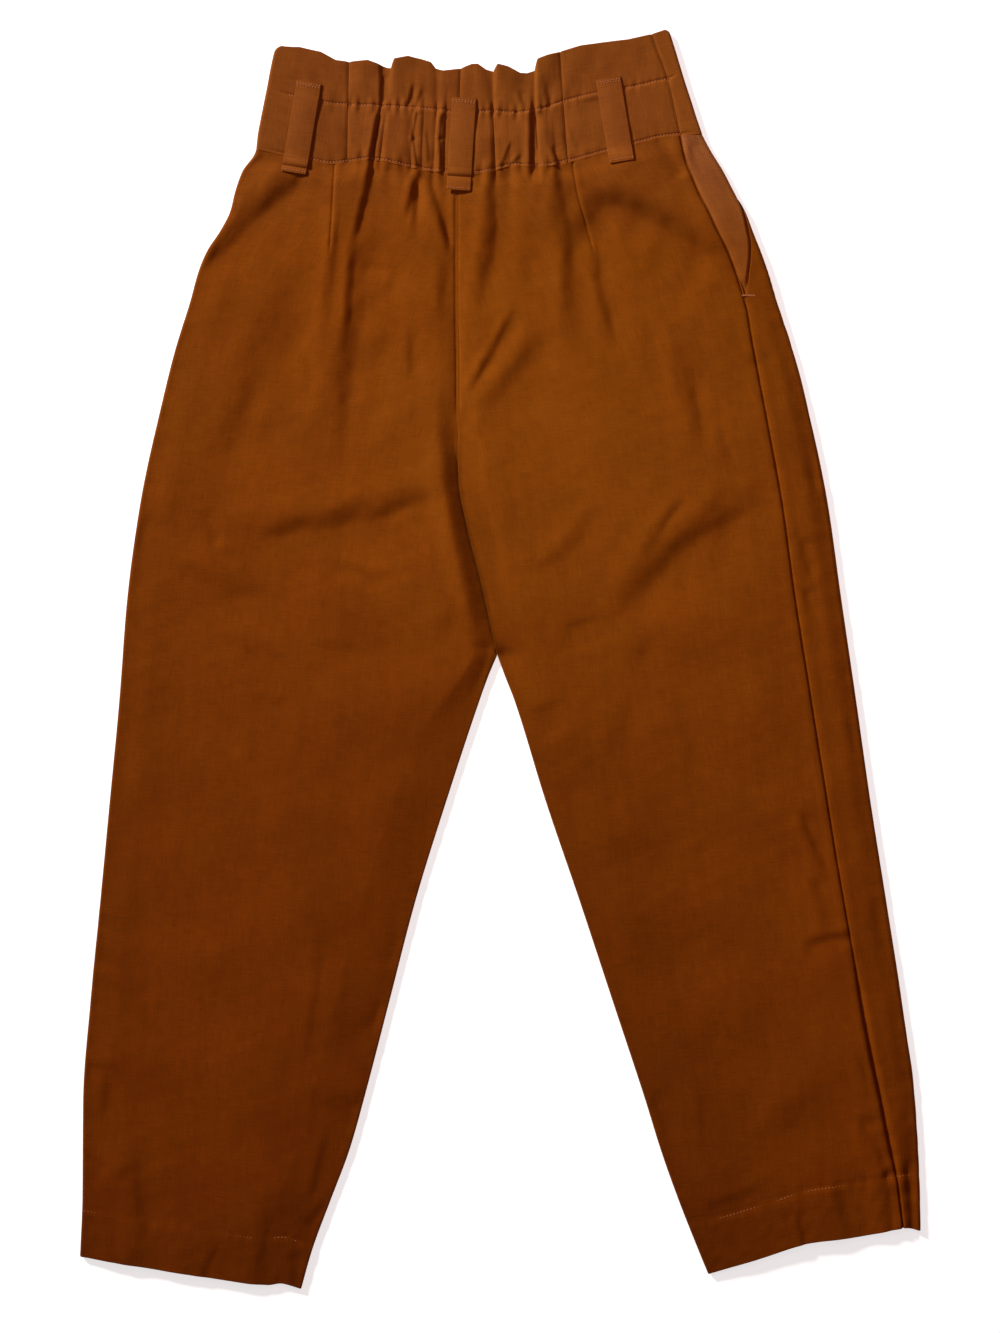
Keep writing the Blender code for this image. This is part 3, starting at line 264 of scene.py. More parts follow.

# %% [markdown]
# ## Folds of the seat and legs
# Cloth that lies flat keeps the folds of being worn and carried.  A fold is a low ridge, a short
# steep slope and a shallow trough behind it.  Each one is listed with its own length, depth and
# width, because evenly spaced folds look like corrugated card.

# %% Fold tables
# start x, y, end x, y, bow, half width of the slope, depth of the trough, height of the ridge,
# shares of the length over which the fold comes in and dies out
BACK_FOLDS = (
    (-103, 394, -138, 130, 0, 9.0, 1.9, 0.8, 0, 0.35),
    (-104, 392, -116, 330, 0, 2.2, 1.2, 0.5, 0, 0.3),
    (-114, 345, -127, 236, 0, 3.2, 1.0, 0.6, 0.3, 0.4),
    (-110, 345, -136, 140, 0, 9.0, 0.9, 0.4, 0.35, 0.4),
    (-129, 362, -143, 230, 0, 4, 1.0, 0.5, 0.2, 0.5),
    (-157, 391, -230, 329, 0, 7.5, 2.5, 1.0, 0.1, 0),
    (-163, 322, -234, 132, 0, 9, 1.4, 0.7, 0.3, 0.3),
    (-66, 389, -76, 346, 0, 2.2, 1.5, 0.6, 0, 0.5),
    (-65, 386, -69, 332, 0, 2.5, 1.2, 0.5, 0, 0.5),
    (-60, 390, -38, 322, 0, 3, 1.7, 0.7, 0, 0.2),
    (-42, 323, -55, 259, 0, 5, 0.7, 0.3, 0.2, 0.6),
    (-73, 270, -72, 218, 0, 2.6, 0.6, 0.2, 0.4, 0.4),
    (-112, 318, -83, 313, 0, 3, 0.6, 0.2, 0.3, 0.3),
    (-84, 319, -90, 286, 0, 3.5, 0.5, 0.2, 0.3, 0.5),
    (-155, 251, -151, 206, 0, 4, 0.4, 0.2, 0.4, 0.4),
    (-195, 405, -160, 394, 0, 3, 1.1, 0.3, 0, 0.2),
    (-2, 391, -25, 249, -2, 4.8, 1.7, 0.9, 0, 0.6),
    (16, 286, -27, 210, 0, 3, 0.9, 0.6, 0.3, 0.2),
    (37, 273, -17, 197, -6, 6, 1.2, 0.8, 0.3, 0.3),
    (19, 327, 25, 293, 0, 4, 0.5, 0.2, 0.4, 0.4),
    (4, 350, 19, 333, 0, 4, 0.4, 0.2, 0.4, 0.4),
    (44, 390, 60, 228, -4, 5.2, 1.6, 1.0, 0, 0.5),
    (61, 356, 73, 286, 0, 7, 0.7, 0.0, 0.2, 0.5),
    (71, 350, 91, 241, 0, 4.5, 1.3, 0.6, 0.3, 0.3),
    (112, 274, 127, 217, 0, 5, 0.5, 0.2, 0.4, 0.4),
    (70, 376, 182, 318, 7, 7.0, 3.0, 1.2, 0.15, 0.2),
    (134, 282, 165, 165, 0, 5.5, 1.5, 0.8, 0.5, 0.25),
    (130, 416, 152, 387, 0, 3, 1.6, 0.5, 0, 0.2),
    (162, 414, 149, 410, 0, 3, 1.0, 0.2, 0, 0.3),
    (-42, 138, -234, 102, -9, 7.5, 1.9, 0.9, 0.1, 0.35),
    (-144, 80, -79, 66, -2, 4, 0.6, 0.3, 0.3, 0.4),
    (-290, 92, -160, 44, -4, 7, 1.1, 0.5, 0.4, 0.4),
    (-234, 26, -161, -4, 0, 5, 0.9, 0.4, 0.4, 0.3),
    (-280, 124, -240, 82, 0, 10, 0.7, 0.2, 0.2, 0.3),
    (-245, 118, -227, 86, -3, 3, 0.8, 0.4, 0.3, 0.3),
    (-205, -30, -161, -34, 0, 3, 0.4, 0.2, 0.4, 0.4),
    (-145, 11, -102, 9, 0, 4, 0.5, 0.2, 0.4, 0.4),
    (-33, 49, -49, 6, 0, 5, 0.5, 0.2, 0.4, 0.4),
    (-11, 17, -28, -36, 0, 6, 0.7, 0.2, 0.1, 0.5),
    (-140, -195, -156, -340, 0, 4, 0.6, 0.3, 0.4, 0.3),
    (-166, -342, -108, -357, -2, 6, 1.1, 0.5, 0.5, 0),
    (-138, -374, -152, -434, 0, 3.4, 0.8, 0.4, 0.3, 0.2),
    (-161, -454, -136, -434, 0, 4, 0.9, 0.3, 0.2, 0),
    (-316, -329, -315, -369, 0, 3.5, 1.4, 0.5, 0.2, 0.3),
    (-331, -323, -301, -326, 0, 3, 1.0, 0.4, 0, 0.4),
    (-299, -382, -291, -487, -7, 5, 1.9, 0.9, 0.25, 0),
    (-299, -403, -305, -421, 0, 4, 0.9, 0.2, 0.3, 0.3),
    (-332, -394, -309, -410, 0, 2.6, 1.1, 0.4, 0, 0.4),
    (-240, -413, -187, -415, -5, 7, 0.5, 0.2, 0.3, 0.3),
    (-183, -418, -196, -505, 0, 5.5, 1.0, 0.4, 0.4, 0),
    (-225, -465, -238, -497, 0, 4, 0.9, 0.3, 0.4, 0),
    (-168, -474, -162, -500, 0, 3, 1.3, 0.4, 0.3, 0),
    (-307, -231, -279, -282, 3, 4, 0.7, 0.3, 0.3, 0.4),
    (-80, -221, -98, -247, 0, 8, 0.9, 0.2, 0.1, 0.4),
    (-96, -271, -111, -298, 0, 5, 0.8, 0.2, 0.2, 0.4),
    (-253, -196, -210, -222, 0, 5, 0.5, 0.2, 0.4, 0.4),
    (-128, -287, -117, -322, 0, 5, 0.5, 0.2, 0.4, 0.4),
    (232, 140, 82, 26, 15, 7.5, 1.9, 0.9, 0.3, 0.25),
    (149, 133, 110, 77, 2, 4, 0.9, 0.5, 0.3, 0.3),
    (81, 130, 5, 65, -14, 5, 0.8, 0.3, 0.3, 0.4),
    (172, 188, 187, 154, 0, 3, 0.6, 0.2, 0.3, 0.4),
    (189, 146, 161, 114, 0, 5, 0.7, 0.2, 0.3, 0.3),
    (52, 31, 60, 1, 0, 5, 0.8, 0.2, 0.3, 0.4),
    (135, 34, 96, -6, 0, 6, 0.6, 0.2, 0.4, 0.4),
    (101, -17, 90, -90, 0, 5, 0.5, 0.2, 0.4, 0.4),
    (239, 97, 248, 60, 0, 2.6, 1.1, 0.3, 0.2, 0.3),
    (240, 55, 254, 26, 0, 3, 0.7, 0.2, 0.2, 0.4),
    (137, -23, 158, -102, 0, 4, 0.5, 0.2, 0.4, 0.4),
    (237, -123, 265, -178, 0, 4, 1.3, 0.6, 0.2, 0.3),
    (249, -174, 265, -220, 0, 4, 0.9, 0.4, 0.2, 0.3),
    (239, -230, 282, -219, 2, 3.5, 1.2, 0.5, 0.3, 0.1),
    (266, -328, 196, -398, -4, 7, 1.1, 0.5, 0.3, 0.4),
    (224, -419, 160, -439, 0, 4, 0.9, 0.5, 0.4, 0.3),
    (264, -414, 281, -465, 0, 7, 1.6, 0.7, 0.35, 0),
    (286, -366, 308, -410, 0, 4.5, 1.9, 0.9, 0.25, 0),
    (305, -407, 311, -462, 0, 4.5, 2.2, 0.9, 0.1, 0),
    (322, -399, 328, -462, 0, 4.5, 2.2, 0.8, 0.15, 0),
    (286, -311, 300, -358, 0, 4, 0.9, 0.3, 0.3, 0.3),
    (236, -438, 244, -471, 0, 2.6, 1.1, 0.4, 0.3, 0),
    (158, -339, 165, -406, 0, 4, 0.6, 0.2, 0.3, 0.3),
    (121, -342, 136, -390, 0, 4, 1.0, 0.3, 0.3, 0.3),
    (24, -38, 38, -68, 0, 6, 0.9, 0.2, 0.3, 0.3),
    (46, -87, 62, -154, 0, 5, 0.6, 0.2, 0.3, 0.3),
    (295, -191, 304, -242, 0, 4, 0.5, 0.2, 0.3, 0.3),
    (276, -41, 284, -82, 0, 4, 0.5, 0.2, 0.3, 0.3),
    (243, 165, 252, 126, 0, 4, 0.5, 0.2, 0.3, 0.3),
    (319, -347, 333, -370, 0, 3, 0.9, 0.3, 0.2, 0.2),
)
# the same for the front, which lies face down on the floor: its folds are low
FRONT_FOLDS = (
    (-120, 392, -150, 250, 4, 6, 0.55, 0.0, 0.1, 0.6),
    (-70, 396, -84, 300, 0, 5, 0.50, 0.0, 0.1, 0.6),
    (20, 400, 8, 290, 0, 5, 0.50, 0.0, 0.1, 0.6),
    (70, 404, 96, 270, -4, 6, 0.55, 0.0, 0.1, 0.6),
    (-30, 70, -150, 120, 8, 7, 0.60, 0.0, 0.3, 0.4),
    (20, 66, 140, 110, 8, 7, 0.60, 0.0, 0.3, 0.4),
    (-60, 20, -170, 40, 5, 6, 0.45, 0.0, 0.3, 0.4),
    (60, 10, 180, 36, 5, 6, 0.45, 0.0, 0.3, 0.4),
    (-120, -150, -230, -130, 6, 8, 0.40, 0.0, 0.3, 0.4),
    (130, -160, 250, -120, 6, 8, 0.40, 0.0, 0.3, 0.4),
    (-180, -300, -290, -330, 6, 7, 0.40, 0.0, 0.3, 0.4),
    (190, -330, 290, -290, 6, 7, 0.40, 0.0, 0.3, 0.4),
    (-250, -430, -240, -500, 0, 6, 0.45, 0.0, 0.3, 0.0),
    (240, -420, 250, -470, 0, 6, 0.45, 0.0, 0.3, 0.0),
)
# the same for the band: short creases between the puffs of the casing
BAND_FOLDS = (
    (-97.2, 437.9, -104.9, 395.7, 0, 1.2, 1.0, 0.5, 0.1, 0.1),
    (-66.1, 437.9, -69.0, 416.8, 0, 1.2, 1.1, 0.6, 0.1, 0),
    (-69.0, 416.8, -65.5, 389.9, 0, 1.2, 1.1, 0.6, 0, 0.1),
    (-58.8, 426.4, -56.9, 395.7, 0, 1.2, 0.6, 0.3, 0.3, 0.1),
    (-46.3, 436.0, -48.6, 416.8, 0, 1.2, 1.1, 0.6, 0.1, 0),
    (-48.6, 416.8, -47.3, 388.0, 0, 1.2, 1.1, 0.6, 0, 0.1),
    (-4.1, 437.9, -1.2, 395.7, 0, 1.3, 1.0, 0.5, 0.1, 0.1),
    (10.3, 416.8, 0.7, 393.8, 0, 1.2, 0.6, 0.4, 0.3, 0),
    (18.0, 405.3, 3.6, 389.9, 0, 1.2, 0.5, 0.4, 0.3, 0),
    (24.7, 436.0, 23.8, 393.8, 0, 1.2, 0.9, 0.5, 0, 0.1),
    (28.6, 436.0, 32.4, 393.8, 0, 1.2, 1.0, 0.6, 0, 0.1),
    (40.1, 411.0, 47.8, 391.8, 0, 1.6, 1.1, 0.8, 0.3, 0),
    (49.7, 422.6, 61.2, 407.2, 0, 1.8, 0.6, 0.4, 0.4, 0.3),
    (-115.6, 418.7, -106.0, 403.4, 0, 1.8, 0.6, 0.4, 0.4, 0.2),
    (-128.0, 412.0, -109.0, 401.0, 0, 1.8, 0.6, 0.4, 0.4, 0.1),
    (-94.3, 468.8, -94.3, 447.5, 0, 1.5, 0.8, 0.3, 0.2, 0),
    (-69.4, 462.0, -73.2, 445.6, 0, 1.5, 0.8, 0.4, 0.4, 0),
    (-61.5, 458.0, -66.0, 444.0, 0, 1.5, 0.7, 0.4, 0.4, 0),
    (14.0, 456.0, 20.0, 440.0, 0, 1.8, 0.9, 0.5, 0.4, 0),
    (36.0, 462.0, 40.0, 444.0, 0, 1.8, 0.7, 0.4, 0.4, 0),
    (92.0, 452.0, 60.0, 446.0, 0, 2.4, 0.7, 0.4, 0.3, 0.3),
)
LIGHT_SIDE = np.array((-0.5, 0.86))     # folds have their ridge on this side


def fold_height(x, y, table):
    """Sum of all folds of a table at the points x, y."""
    total = np.zeros(np.shape(x))
    wander = 2.0 * ripple(x, y, 46.0, 51) + 0.8 * ripple(x, y, 17.0, 52)
    uneven = (1.0 + 0.18 * ripple(x, y, 30.0, 53)) * mix(0.55, 1.0, ease((y + 300.0) / 220.0))
    for x0, y0, x1, y1, bow, width, depth, ridge, come_in, die_out in table:
        run = np.array((x1 - x0, y1 - y0), float)
        length = math.hypot(*run)
        run /= length
        width = width * (1.4 if width >= 5.0 else 1.1)       # the wide folds are the softest
        away = np.array((run[1], -run[0]))
        if away @ LIGHT_SIDE > 0.0:
            away = -away
        along = (x - x0) * run[0] + (y - y0) * run[1]
        share = along / length
        across = (x - x0) * away[0] + (y - y0) * away[1]
        across = across + bow * np.sin(math.pi * np.clip(share, 0.0, 1.0))
        across = across + wander * min(1.0, width / 5.0)
        beyond = np.maximum(np.maximum(-along, along - length), 0.0)
        strength = uneven * bell(beyond, width)
        if come_in:
            strength = strength * ease(share / come_in)
        if die_out:
            strength = strength * ease((1.0 - share) / die_out)
        crest = bell(across + 1.2 * width, 1.1 * width)
        behind = across - 0.9 * width
        trough = bell(behind, np.where(behind > 0.0, 2.8 * width, width))
        total += strength * (ridge * crest - depth * trough)
    return total


print(len(BACK_FOLDS), "folds on the back and", len(FRONT_FOLDS), "on the front")

# %% [markdown]
# ## Gathers of the waistband
# The ruffle above the casing and the casing itself are gathered by an elastic.  A row of this
# table is one ridge, valley or seam that runs up the band, so the pleats are as uneven as real
# ones.  Between two rows the cloth swings smoothly.

# %% Gathers of the back band
# x at the waist seam, at the stitches and at the ruffle's edge, level of the ruffle's edge, and
# the height of the cloth at the waist seam, half-way up the casing, at the stitches and the edge
GATHERS = np.array((
    (-171, -168, -160, 489.2, 4.6, 5.0, 4.6, 5.4),
    (-150, -147, -143, 485.4, 4.4, 4.8, 4.4, 4.8),
    (-136, -134, -131, 479.0, 4.2, 4.4, 4.0, 4.4),
    (-122.0, -121.2, -120.4, 477.6, 3.8, 4.0, 3.8, 4.4),
    (-111.5, -107.0, -105.5, 478.6, 5.0, 5.0, 4.6, 6.0),
    (-105.5, -97.5, -97.5, 475.8, 6.0, 6.0, 5.2, 6.6),
    (-102.5, -94.8, -93.6, 474.2, 2.9, 3.2, 2.8, 3.0),
    (-98.8, -92.4, -89.2, 472.6, 4.5, 4.6, 3.6, 3.6),
    (-95.6, -90.0, -86.4, 472.4, 3.0, 3.6, 4.0, 4.4),
    (-91.6, -86.0, -84.0, 479.6, 5.0, 5.4, 5.2, 8.0),
    (-79.6, -76.4, -73.2, 481.6, 5.2, 5.6, 4.8, 7.2),
    (-70.8, -68.8, -66.8, 480.2, 3.4, 3.9, 3.6, 6.6),
    (-66.0, -64.0, -63.6, 479.6, 5.6, 6.4, 5.4, 6.6),
    (-62.4, -60.8, -58.8, 478.2, 4.2, 4.6, 4.2, 6.4),
    (-56.4, -54.0, -54.8, 477.0, 4.6, 5.0, 4.6, 6.2),
    (-52.8, -50.0, -50.8, 472.0, 3.4, 4.0, 3.2, 3.8),
    (-48.8, -46.2, -45.2, 470.4, 5.4, 6.4, 5.2, 5.0),
    (-44.8, -42.8, -39.6, 471.0, 3.2, 3.4, 3.4, 5.0),
    (-33.6, -32.4, -31.0, 472.2, 4.2, 4.2, 3.8, 4.6),
    (-22.8, -20.8, -22.0, 475.6, 4.4, 4.6, 4.2, 6.4),
    (-14.0, -14.8, -17.2, 475.6, 5.2, 5.6, 4.8, 7.0),
    (-7.6, -8.8, -10.8, 471.4, 6.0, 5.8, 4.4, 4.2),
    (-2.8, -5.2, -4.6, 469.6, 2.8, 3.0, 2.7, 2.9),
    (0.4, -1.6, -1.4, 475.2, 5.6, 6.2, 4.6, 8.2),
    (9.2, 6.8, 6.8, 473.4, 4.6, 5.0, 4.8, 7.6),
    (18.0, 16.4, 16.4, 468.6, 5.2, 5.4, 4.8, 5.0),
    (23.2, 24.4, 22.0, 468.4, 5.6, 6.2, 5.2, 4.0),
    (25.6, 26.4, 27.0, 470.0, 3.0, 3.0, 3.0, 3.2),
    (31.8, 28.8, 28.6, 470.8, 2.9, 3.0, 2.7, 3.0),
    (34.4, 31.0, 30.6, 479.4, 6.6, 6.8, 6.0, 8.2),
    (41.2, 38.0, 38.0, 482.2, 6.6, 5.8, 4.6, 8.2),
    (46.0, 42.0, 42.8, 483.6, 4.2, 5.0, 5.0, 7.9),
    (50.0, 46.4, 45.2, 484.2, 5.2, 5.2, 4.8, 7.7),
    (54.8, 51.0, 48.4, 485.2, 4.4, 4.6, 4.6, 7.4),
    (72.4, 69.2, 64.4, 490.0, 4.6, 5.0, 4.6, 6.6),
    (92.4, 88.4, 82.8, 492.8, 4.6, 5.0, 4.6, 6.1),
    (116.4, 110.8, 102.8, 495.2, 4.6, 5.0, 4.6, 5.6),
    (145.0, 134.8, 121.8, 499.6, 4.4, 4.6, 4.4, 5.0),
))
SEAM_LEFT, SEAM_CENTRE, SEAM_RIGHT, SEAM_SIDE = 3, 18, 33, 37     # rows that are band seams


def gather_line(rows, climb):
    """Places of gathers at climb 0 (waist seam), 1 (stitches) to 2 (ruffle's edge)."""
    seam_x, stitch_x, edge_x, edge_y, seam_z, casing_z, stitch_z, edge_z = np.moveaxis(rows, -1, 0)
    below, above = np.minimum(climb, 1.0), np.clip(climb - 1.0, 0.0, 1.0)
    x = mix(mix(seam_x, stitch_x, below), edge_x, above)
    y = mix(mix(seam_level(seam_x), stitch_level(stitch_x), below), edge_y, above)
    z = seam_z * (1.0 - below) * (1.0 - 2.0 * below)
    z = z + 4.0 * casing_z * below * (1.0 - below) + stitch_z * below * (2.0 * below - 1.0)
    z = mix(z, edge_z, ease(above))
    return np.stack((x, y, np.maximum(z, BAND_REST)), axis=-1)


def puff(low, high, share):
    """Blend that is round on ridges and sharp in valleys, like a cushion and its seam."""
    cushion = np.where(high > low, 1.0 - (1.0 - share) ** 2, share ** 2)
    return mix(low, high, mix(ease(share), cushion, 0.7))


def gather_rows(place):
    """Rows of the gather table, blended at places that count its rows."""
    index = np.clip(place.astype(int), 0, len(GATHERS) - 2)
    share = (place - index)[..., None]
    low, high = GATHERS[index], GATHERS[index + 1]
    return np.concatenate((mix(low[..., :4], high[..., :4], share),
                           puff(low[..., 4:], high[..., 4:], share)), axis=-1)


def seam_height(x):
    """Height of the gathered waist seam."""
    xs, heights = GATHERS[:, 0], GATHERS[:, 4]
    index = np.clip(np.searchsorted(xs, x) - 1, 0, len(xs) - 2)
    share = (x - xs[index]) / (xs[index + 1] - xs[index])
    return mix(BAND_MIDDLE, puff(heights[index], heights[index + 1], share), BAND_GAIN)


print(len(GATHERS), "lines shape the gathers")

# %% [markdown]
# ## A leg with its half of the seat
# Each leg is a flattened tube.  A point of it is found by its row, from -1 at the hem through 0
# at the crotch to 1 at the waist, and by its wrap, the length of cloth from the outer edge: above
# zero on the upper side and below zero underneath.  So the front and back panels meet without a
# fitting step, and their weave can follow the same two numbers.

# %% Plan of a leg
DARTS = {
    "left": ((-132.0, 392.0), (-134.0, 353.0), (-136.0, 322.0)),
    "right": ((58.8, 394.0), (63.0, 370.0), (70.0, 346.0), (75.6, 325.0)),
}


class LegPlan:
    """Where the rows and wraps of a leg lie, as seen from above."""

    def __init__(self, side, hem_inner, hem_outer, waist):
        column = 1 if side == "left" else 2
        self.side = side
        self.inward = 1.0 if side == "left" else -1.0
        self.outer = smooth_curve(OUTER_EDGES, column)
        self.inner = smooth_curve(INNER_EDGES, column)
        self.roll_levels, self.rolls = zip(*sorted((row[0], row[column]) for row in ROLLS))
        self.hem_rise = smooth_curve(HEM_SHAPE, column)
        self.meeting_height = smooth_curve(CENTRE_MEETING, column)
        self.meeting_bend = smooth_curve(CENTRE_MEETING, column + 2)
        self.tucked = smooth_curve(CENTRE_MEETING, 5)
        self.turned = smooth_curve(CENTRE_MEETING, 6)
        self.hem_inner = hem_inner
        self.hem_outer = hem_outer
        self.waist = waist
        self.dart = smooth_curve([(y, x) for x, y in DARTS[side]])

    def levels(self, layer, row):
        """Levels of a row's inner and outer ends."""
        top = BACK_TOP if layer == "back" else waist_line(FRONT_CENTRE_X)
        inner = np.where(row <= 0, mix(CROTCH, self.hem_inner, -row), mix(CROTCH, top, row))
        outer = np.where(row <= 0, mix(CROTCH_OUTER, self.hem_outer, -row),
                         mix(CROTCH_OUTER, self.waist[1], row))
        return inner, outer

    def tuck(self, level):
        return self.tucked(level) if self.side == "left" else 0.0 * level

    def ends(self, layer, row):
        """Plan points of a row's inner and outer ends."""
        inner_level, outer_level = self.levels(layer, row)
        leg_x = self.inner(inner_level)
        if layer == "back":
            seat_x = centre_back(inner_level) - self.inward * SEAM_GAP / 2 + self.tuck(inner_level)
        else:
            share = (inner_level - CROTCH) / (waist_line(FRONT_CENTRE_X) - CROTCH)
            middle = FRONT_CENTRE_X - self.inward * SEAM_GAP / 2
            seat_x = mix(self.inner(CROTCH), middle, ease(share))
        inner = np.stack((np.where(row <= 0, leg_x, seat_x), inner_level), axis=-1)
        outer = np.stack((self.outer(outer_level), outer_level), axis=-1)
        return inner, outer

    def roll(self, row):
        return np.interp(self.levels("back", row)[1], self.roll_levels, self.rolls)

    def width(self, layer, row):
        inner, outer = self.ends(layer, row)
        return np.linalg.norm(outer - inner, axis=-1)

    def plan(self, layer, row, inset):
        """Plan point at a distance in from the outer edge, along a row."""
        inner, outer = self.ends(layer, row)
        width = np.linalg.norm(outer - inner, axis=-1)
        share = inset / width
        spot = outer + (inner - outer) * share[..., None]
        x, y = spot[..., 0], spot[..., 1]
        y = y + self.hem_rise(1.0 - share) * ease((HEM_RUN - 1.0 - row) / HEM_RUN)
        if layer == "back":
            top_inner, top_outer = self.ends("back", np.array(1.0))
            across = (x - top_inner[0]) / (top_outer[0] - top_inner[0])
            sag = seam_level(x) - mix(top_inner[1], top_outer[1], across)
            y = y + sag * ease((row - 1.0 + WAIST_RUN) / WAIST_RUN)
        return x, y

    def bend(self, row):
        return self.meeting_bend(np.maximum(self.levels("back", row)[0], CROTCH))

    def turn_length(self, row):
        level = np.maximum(self.levels("back", row)[0], CROTCH)
        if self.side == "right":
            return self.turned(level)
        return mix(EDGE_TURN, SEAM_TURN, ease((level - 172.0) / 20.0))

    def reach(self, row):
        """How far the strip that is turned down at the inner edge reaches sideways."""
        angle = np.maximum(self.bend(row) * math.pi / 2, 0.01)
        round_part = mix(1.0, EDGE_SHARE, ease(self.bend(row)))
        straight = (1.0 - round_part) * np.maximum(np.cos(angle), 0.0)
        return self.turn_length(row) * (np.sin(np.minimum(angle, math.pi / 2)) / angle * round_part
                                        + straight)


print("levels of the darts:", {side: (rows[0][1], rows[-1][1]) for side, rows in DARTS.items()})

# %% [markdown]
# The upper layer rises from the rolled outer edge to its full height and comes down again to the
# seam or fold at its inner edge.  Folds, seams, darts and hems are added to this form as heights.

# %% Heights of a leg
class Leg(LegPlan):
    """The whole tube of a leg: its plan with the heights of both layers."""

    def edge_detail(self, x, y, from_inner):
        """Seams, darts and hem: grooves, puckers and the doubled cloth beside them."""
        # the centre seam sinks between two raised allowances
        height = ease((y - SEAM_END) / 25.0) * (
            -0.9 * bell(from_inner, 1.3) + 0.35 * bell(from_inner - 5.5, 3.5))
        pucker = ripple(y, 0 * y, 11.0, 5 if self.side == "left" else 6)
        height = height + 0.22 * pucker * bell(from_inner, 5.0)
        # the dart
        off = (x - self.dart(y)) * self.inward
        dart = ease((y - DART_END) / 12.0) * ease((402.0 - y) / 6.0)
        height += dart * (-0.75 * bell(off, 1.0) + 0.4 * bell(off - 3.0 * self.inward, 2.4))
        # the hem is folded up twice and stitched
        depth = HEM_DEPTHS[self.side]
        hem = self.hem_distance(x, y)
        height += 0.5 * ease((depth + 1.2 - hem) / 2.4)
        height += 0.22 * bell(hem - depth, 5.0) * ripple(x, 0 * x, 8.0, 9)
        height -= 0.45 * bell(hem - depth - 0.6, 1.1)
        height += 0.16 * ripple(x, hem, 14.0, 12) * ease((depth - hem) / 10.0)
        return height

    def hem_distance(self, x, y):
        """Distance up from the hem."""
        inner, outer = self.ends("back", np.array(-1.0))
        share = (x - inner[0]) / (outer[0] - inner[0])
        line = mix(inner[1], outer[1], share) + self.hem_rise(np.clip(share, 0, 1))
        return y - line

    def inner_edge(self, row, level, height, from_inner):
        """Bring the upper layer down to its inner edge, and into the hollow beside the fold."""
        folded = ease((level - 4.0) / 12.0) * ease((200.0 - level) / 45.0)
        ridge = folded * ease((level - CROTCH) / 45.0)
        run = mix(CENTRE_RUN, INSEAM_RUN, ease(row * -6.0))
        if self.side == "left":
            height = height + 2.2 * ridge * bell(from_inner - 13.0, 9.0)
            wide = mix(20.0, 15.0, ease((level - 30.0) / 80.0))
            climb = np.clip((from_inner + 2.5 * folded) / mix(run, wide, folded), 0.0, 1.0)
            hollow = mix(climb, 1.0 - (1.0 - climb) ** 2, folded)
            even = 0.9 * ease((200.0 - level) / 45.0)
            rise = mix(ease(climb), hollow, even)
        else:
            height = height + 1.2 * ridge * bell(from_inner - 26.0, 14.0)
            rise = ease(from_inner / mix(run, FOLD_RUN, folded))
        return mix(self.meeting_height(level), height, rise)

    def upper_height(self, row, x, y, inset):
        """Middle height of the upper layer at a plan point."""
        inner_level, outer_level = self.levels("back", row)
        inner_level = np.maximum(inner_level, CROTCH)
        roll = self.roll(row)
        body = mix(LEG_LOFT, SEAT_LOFT, ease(row + 0.5))
        for size, gain, seed in ((90.0, 0.9, 3), (32.0, 0.17, 4), (11.0, 0.09, 7)):
            body = body + gain * ripple(x, y, size, seed)
        from_edge = inset - WALL / 2 - roll
        edge_run = EDGE_RUN if self.side == "left" else EDGE_RUN_RIGHT
        height = mix(WALL / 2 + 2.0 * roll, body, ease(from_edge / edge_run))
        from_inner = self.width("back", row) - inset - self.reach(row) - self.tuck(inner_level)
        height = self.inner_edge(row, inner_level, height, from_inner)
        # gathers and folds come down from the waist seam
        from_waist = seam_level(x) - y
        gathered = ease(1.0 - from_waist / GATHER_RUN)
        height = mix(height, seam_height(x), gathered)
        folds = fold_height(x, y, BACK_FOLDS)
        folds = folds * ease(from_edge / 7.0 + 0.2) * ease((from_inner + 1.0) / 8.0)
        at_seam = bell(from_waist, 5.0)
        height = height + FOLD_GAIN * folds * mix(1.0, 0.7, gathered) * (1.0 - 0.7 * at_seam)
        elastic = elastic_at(x)
        height = height + 0.9 * elastic * (bell(from_waist, 24.0) - at_seam) * ripple(
            x, 0.25 * y, 13.0, 17)
        height = height + self.edge_detail(x, y, from_inner)
        height = height + bell(from_waist, 7.0) * (
            0.12 + 0.9 * mix(0.35, 1.0, elastic) * waist_puckers(x, y))
        # puckers where the tube rolls over
        away = bell(from_edge, 14.0)
        height = height + 0.25 * away * ripple(y, 0.3 * x, 17.0, 21)
        if self.side == "left":
            height = height + 0.5 * bell(y + 215.0, 60.0) * away * ripple(
                y + 0.3 * x, 0 * x, 11.0, 24)
        else:
            # the outseam lies in a groove, deeper and wider over the shin
            off = inset - outseam(outer_level)
            height = height + 0.3 * ripple(y, 0 * y, 13.0, 23) * bell(off, 7.0)
            shin = ease((-230.0 - y) / 60.0)
            wide = 0.85 + 1.1 * shin * ease((y + 425.0) / 40.0)
            height = height - (1.7 + 1.3 * shin) * bell(off, wide)
            height = height + 0.35 * bell(np.abs(off) - 5.0, 3.0)
        return 0.5 * (height + REST + np.sqrt((height - REST) ** 2 + 0.2))

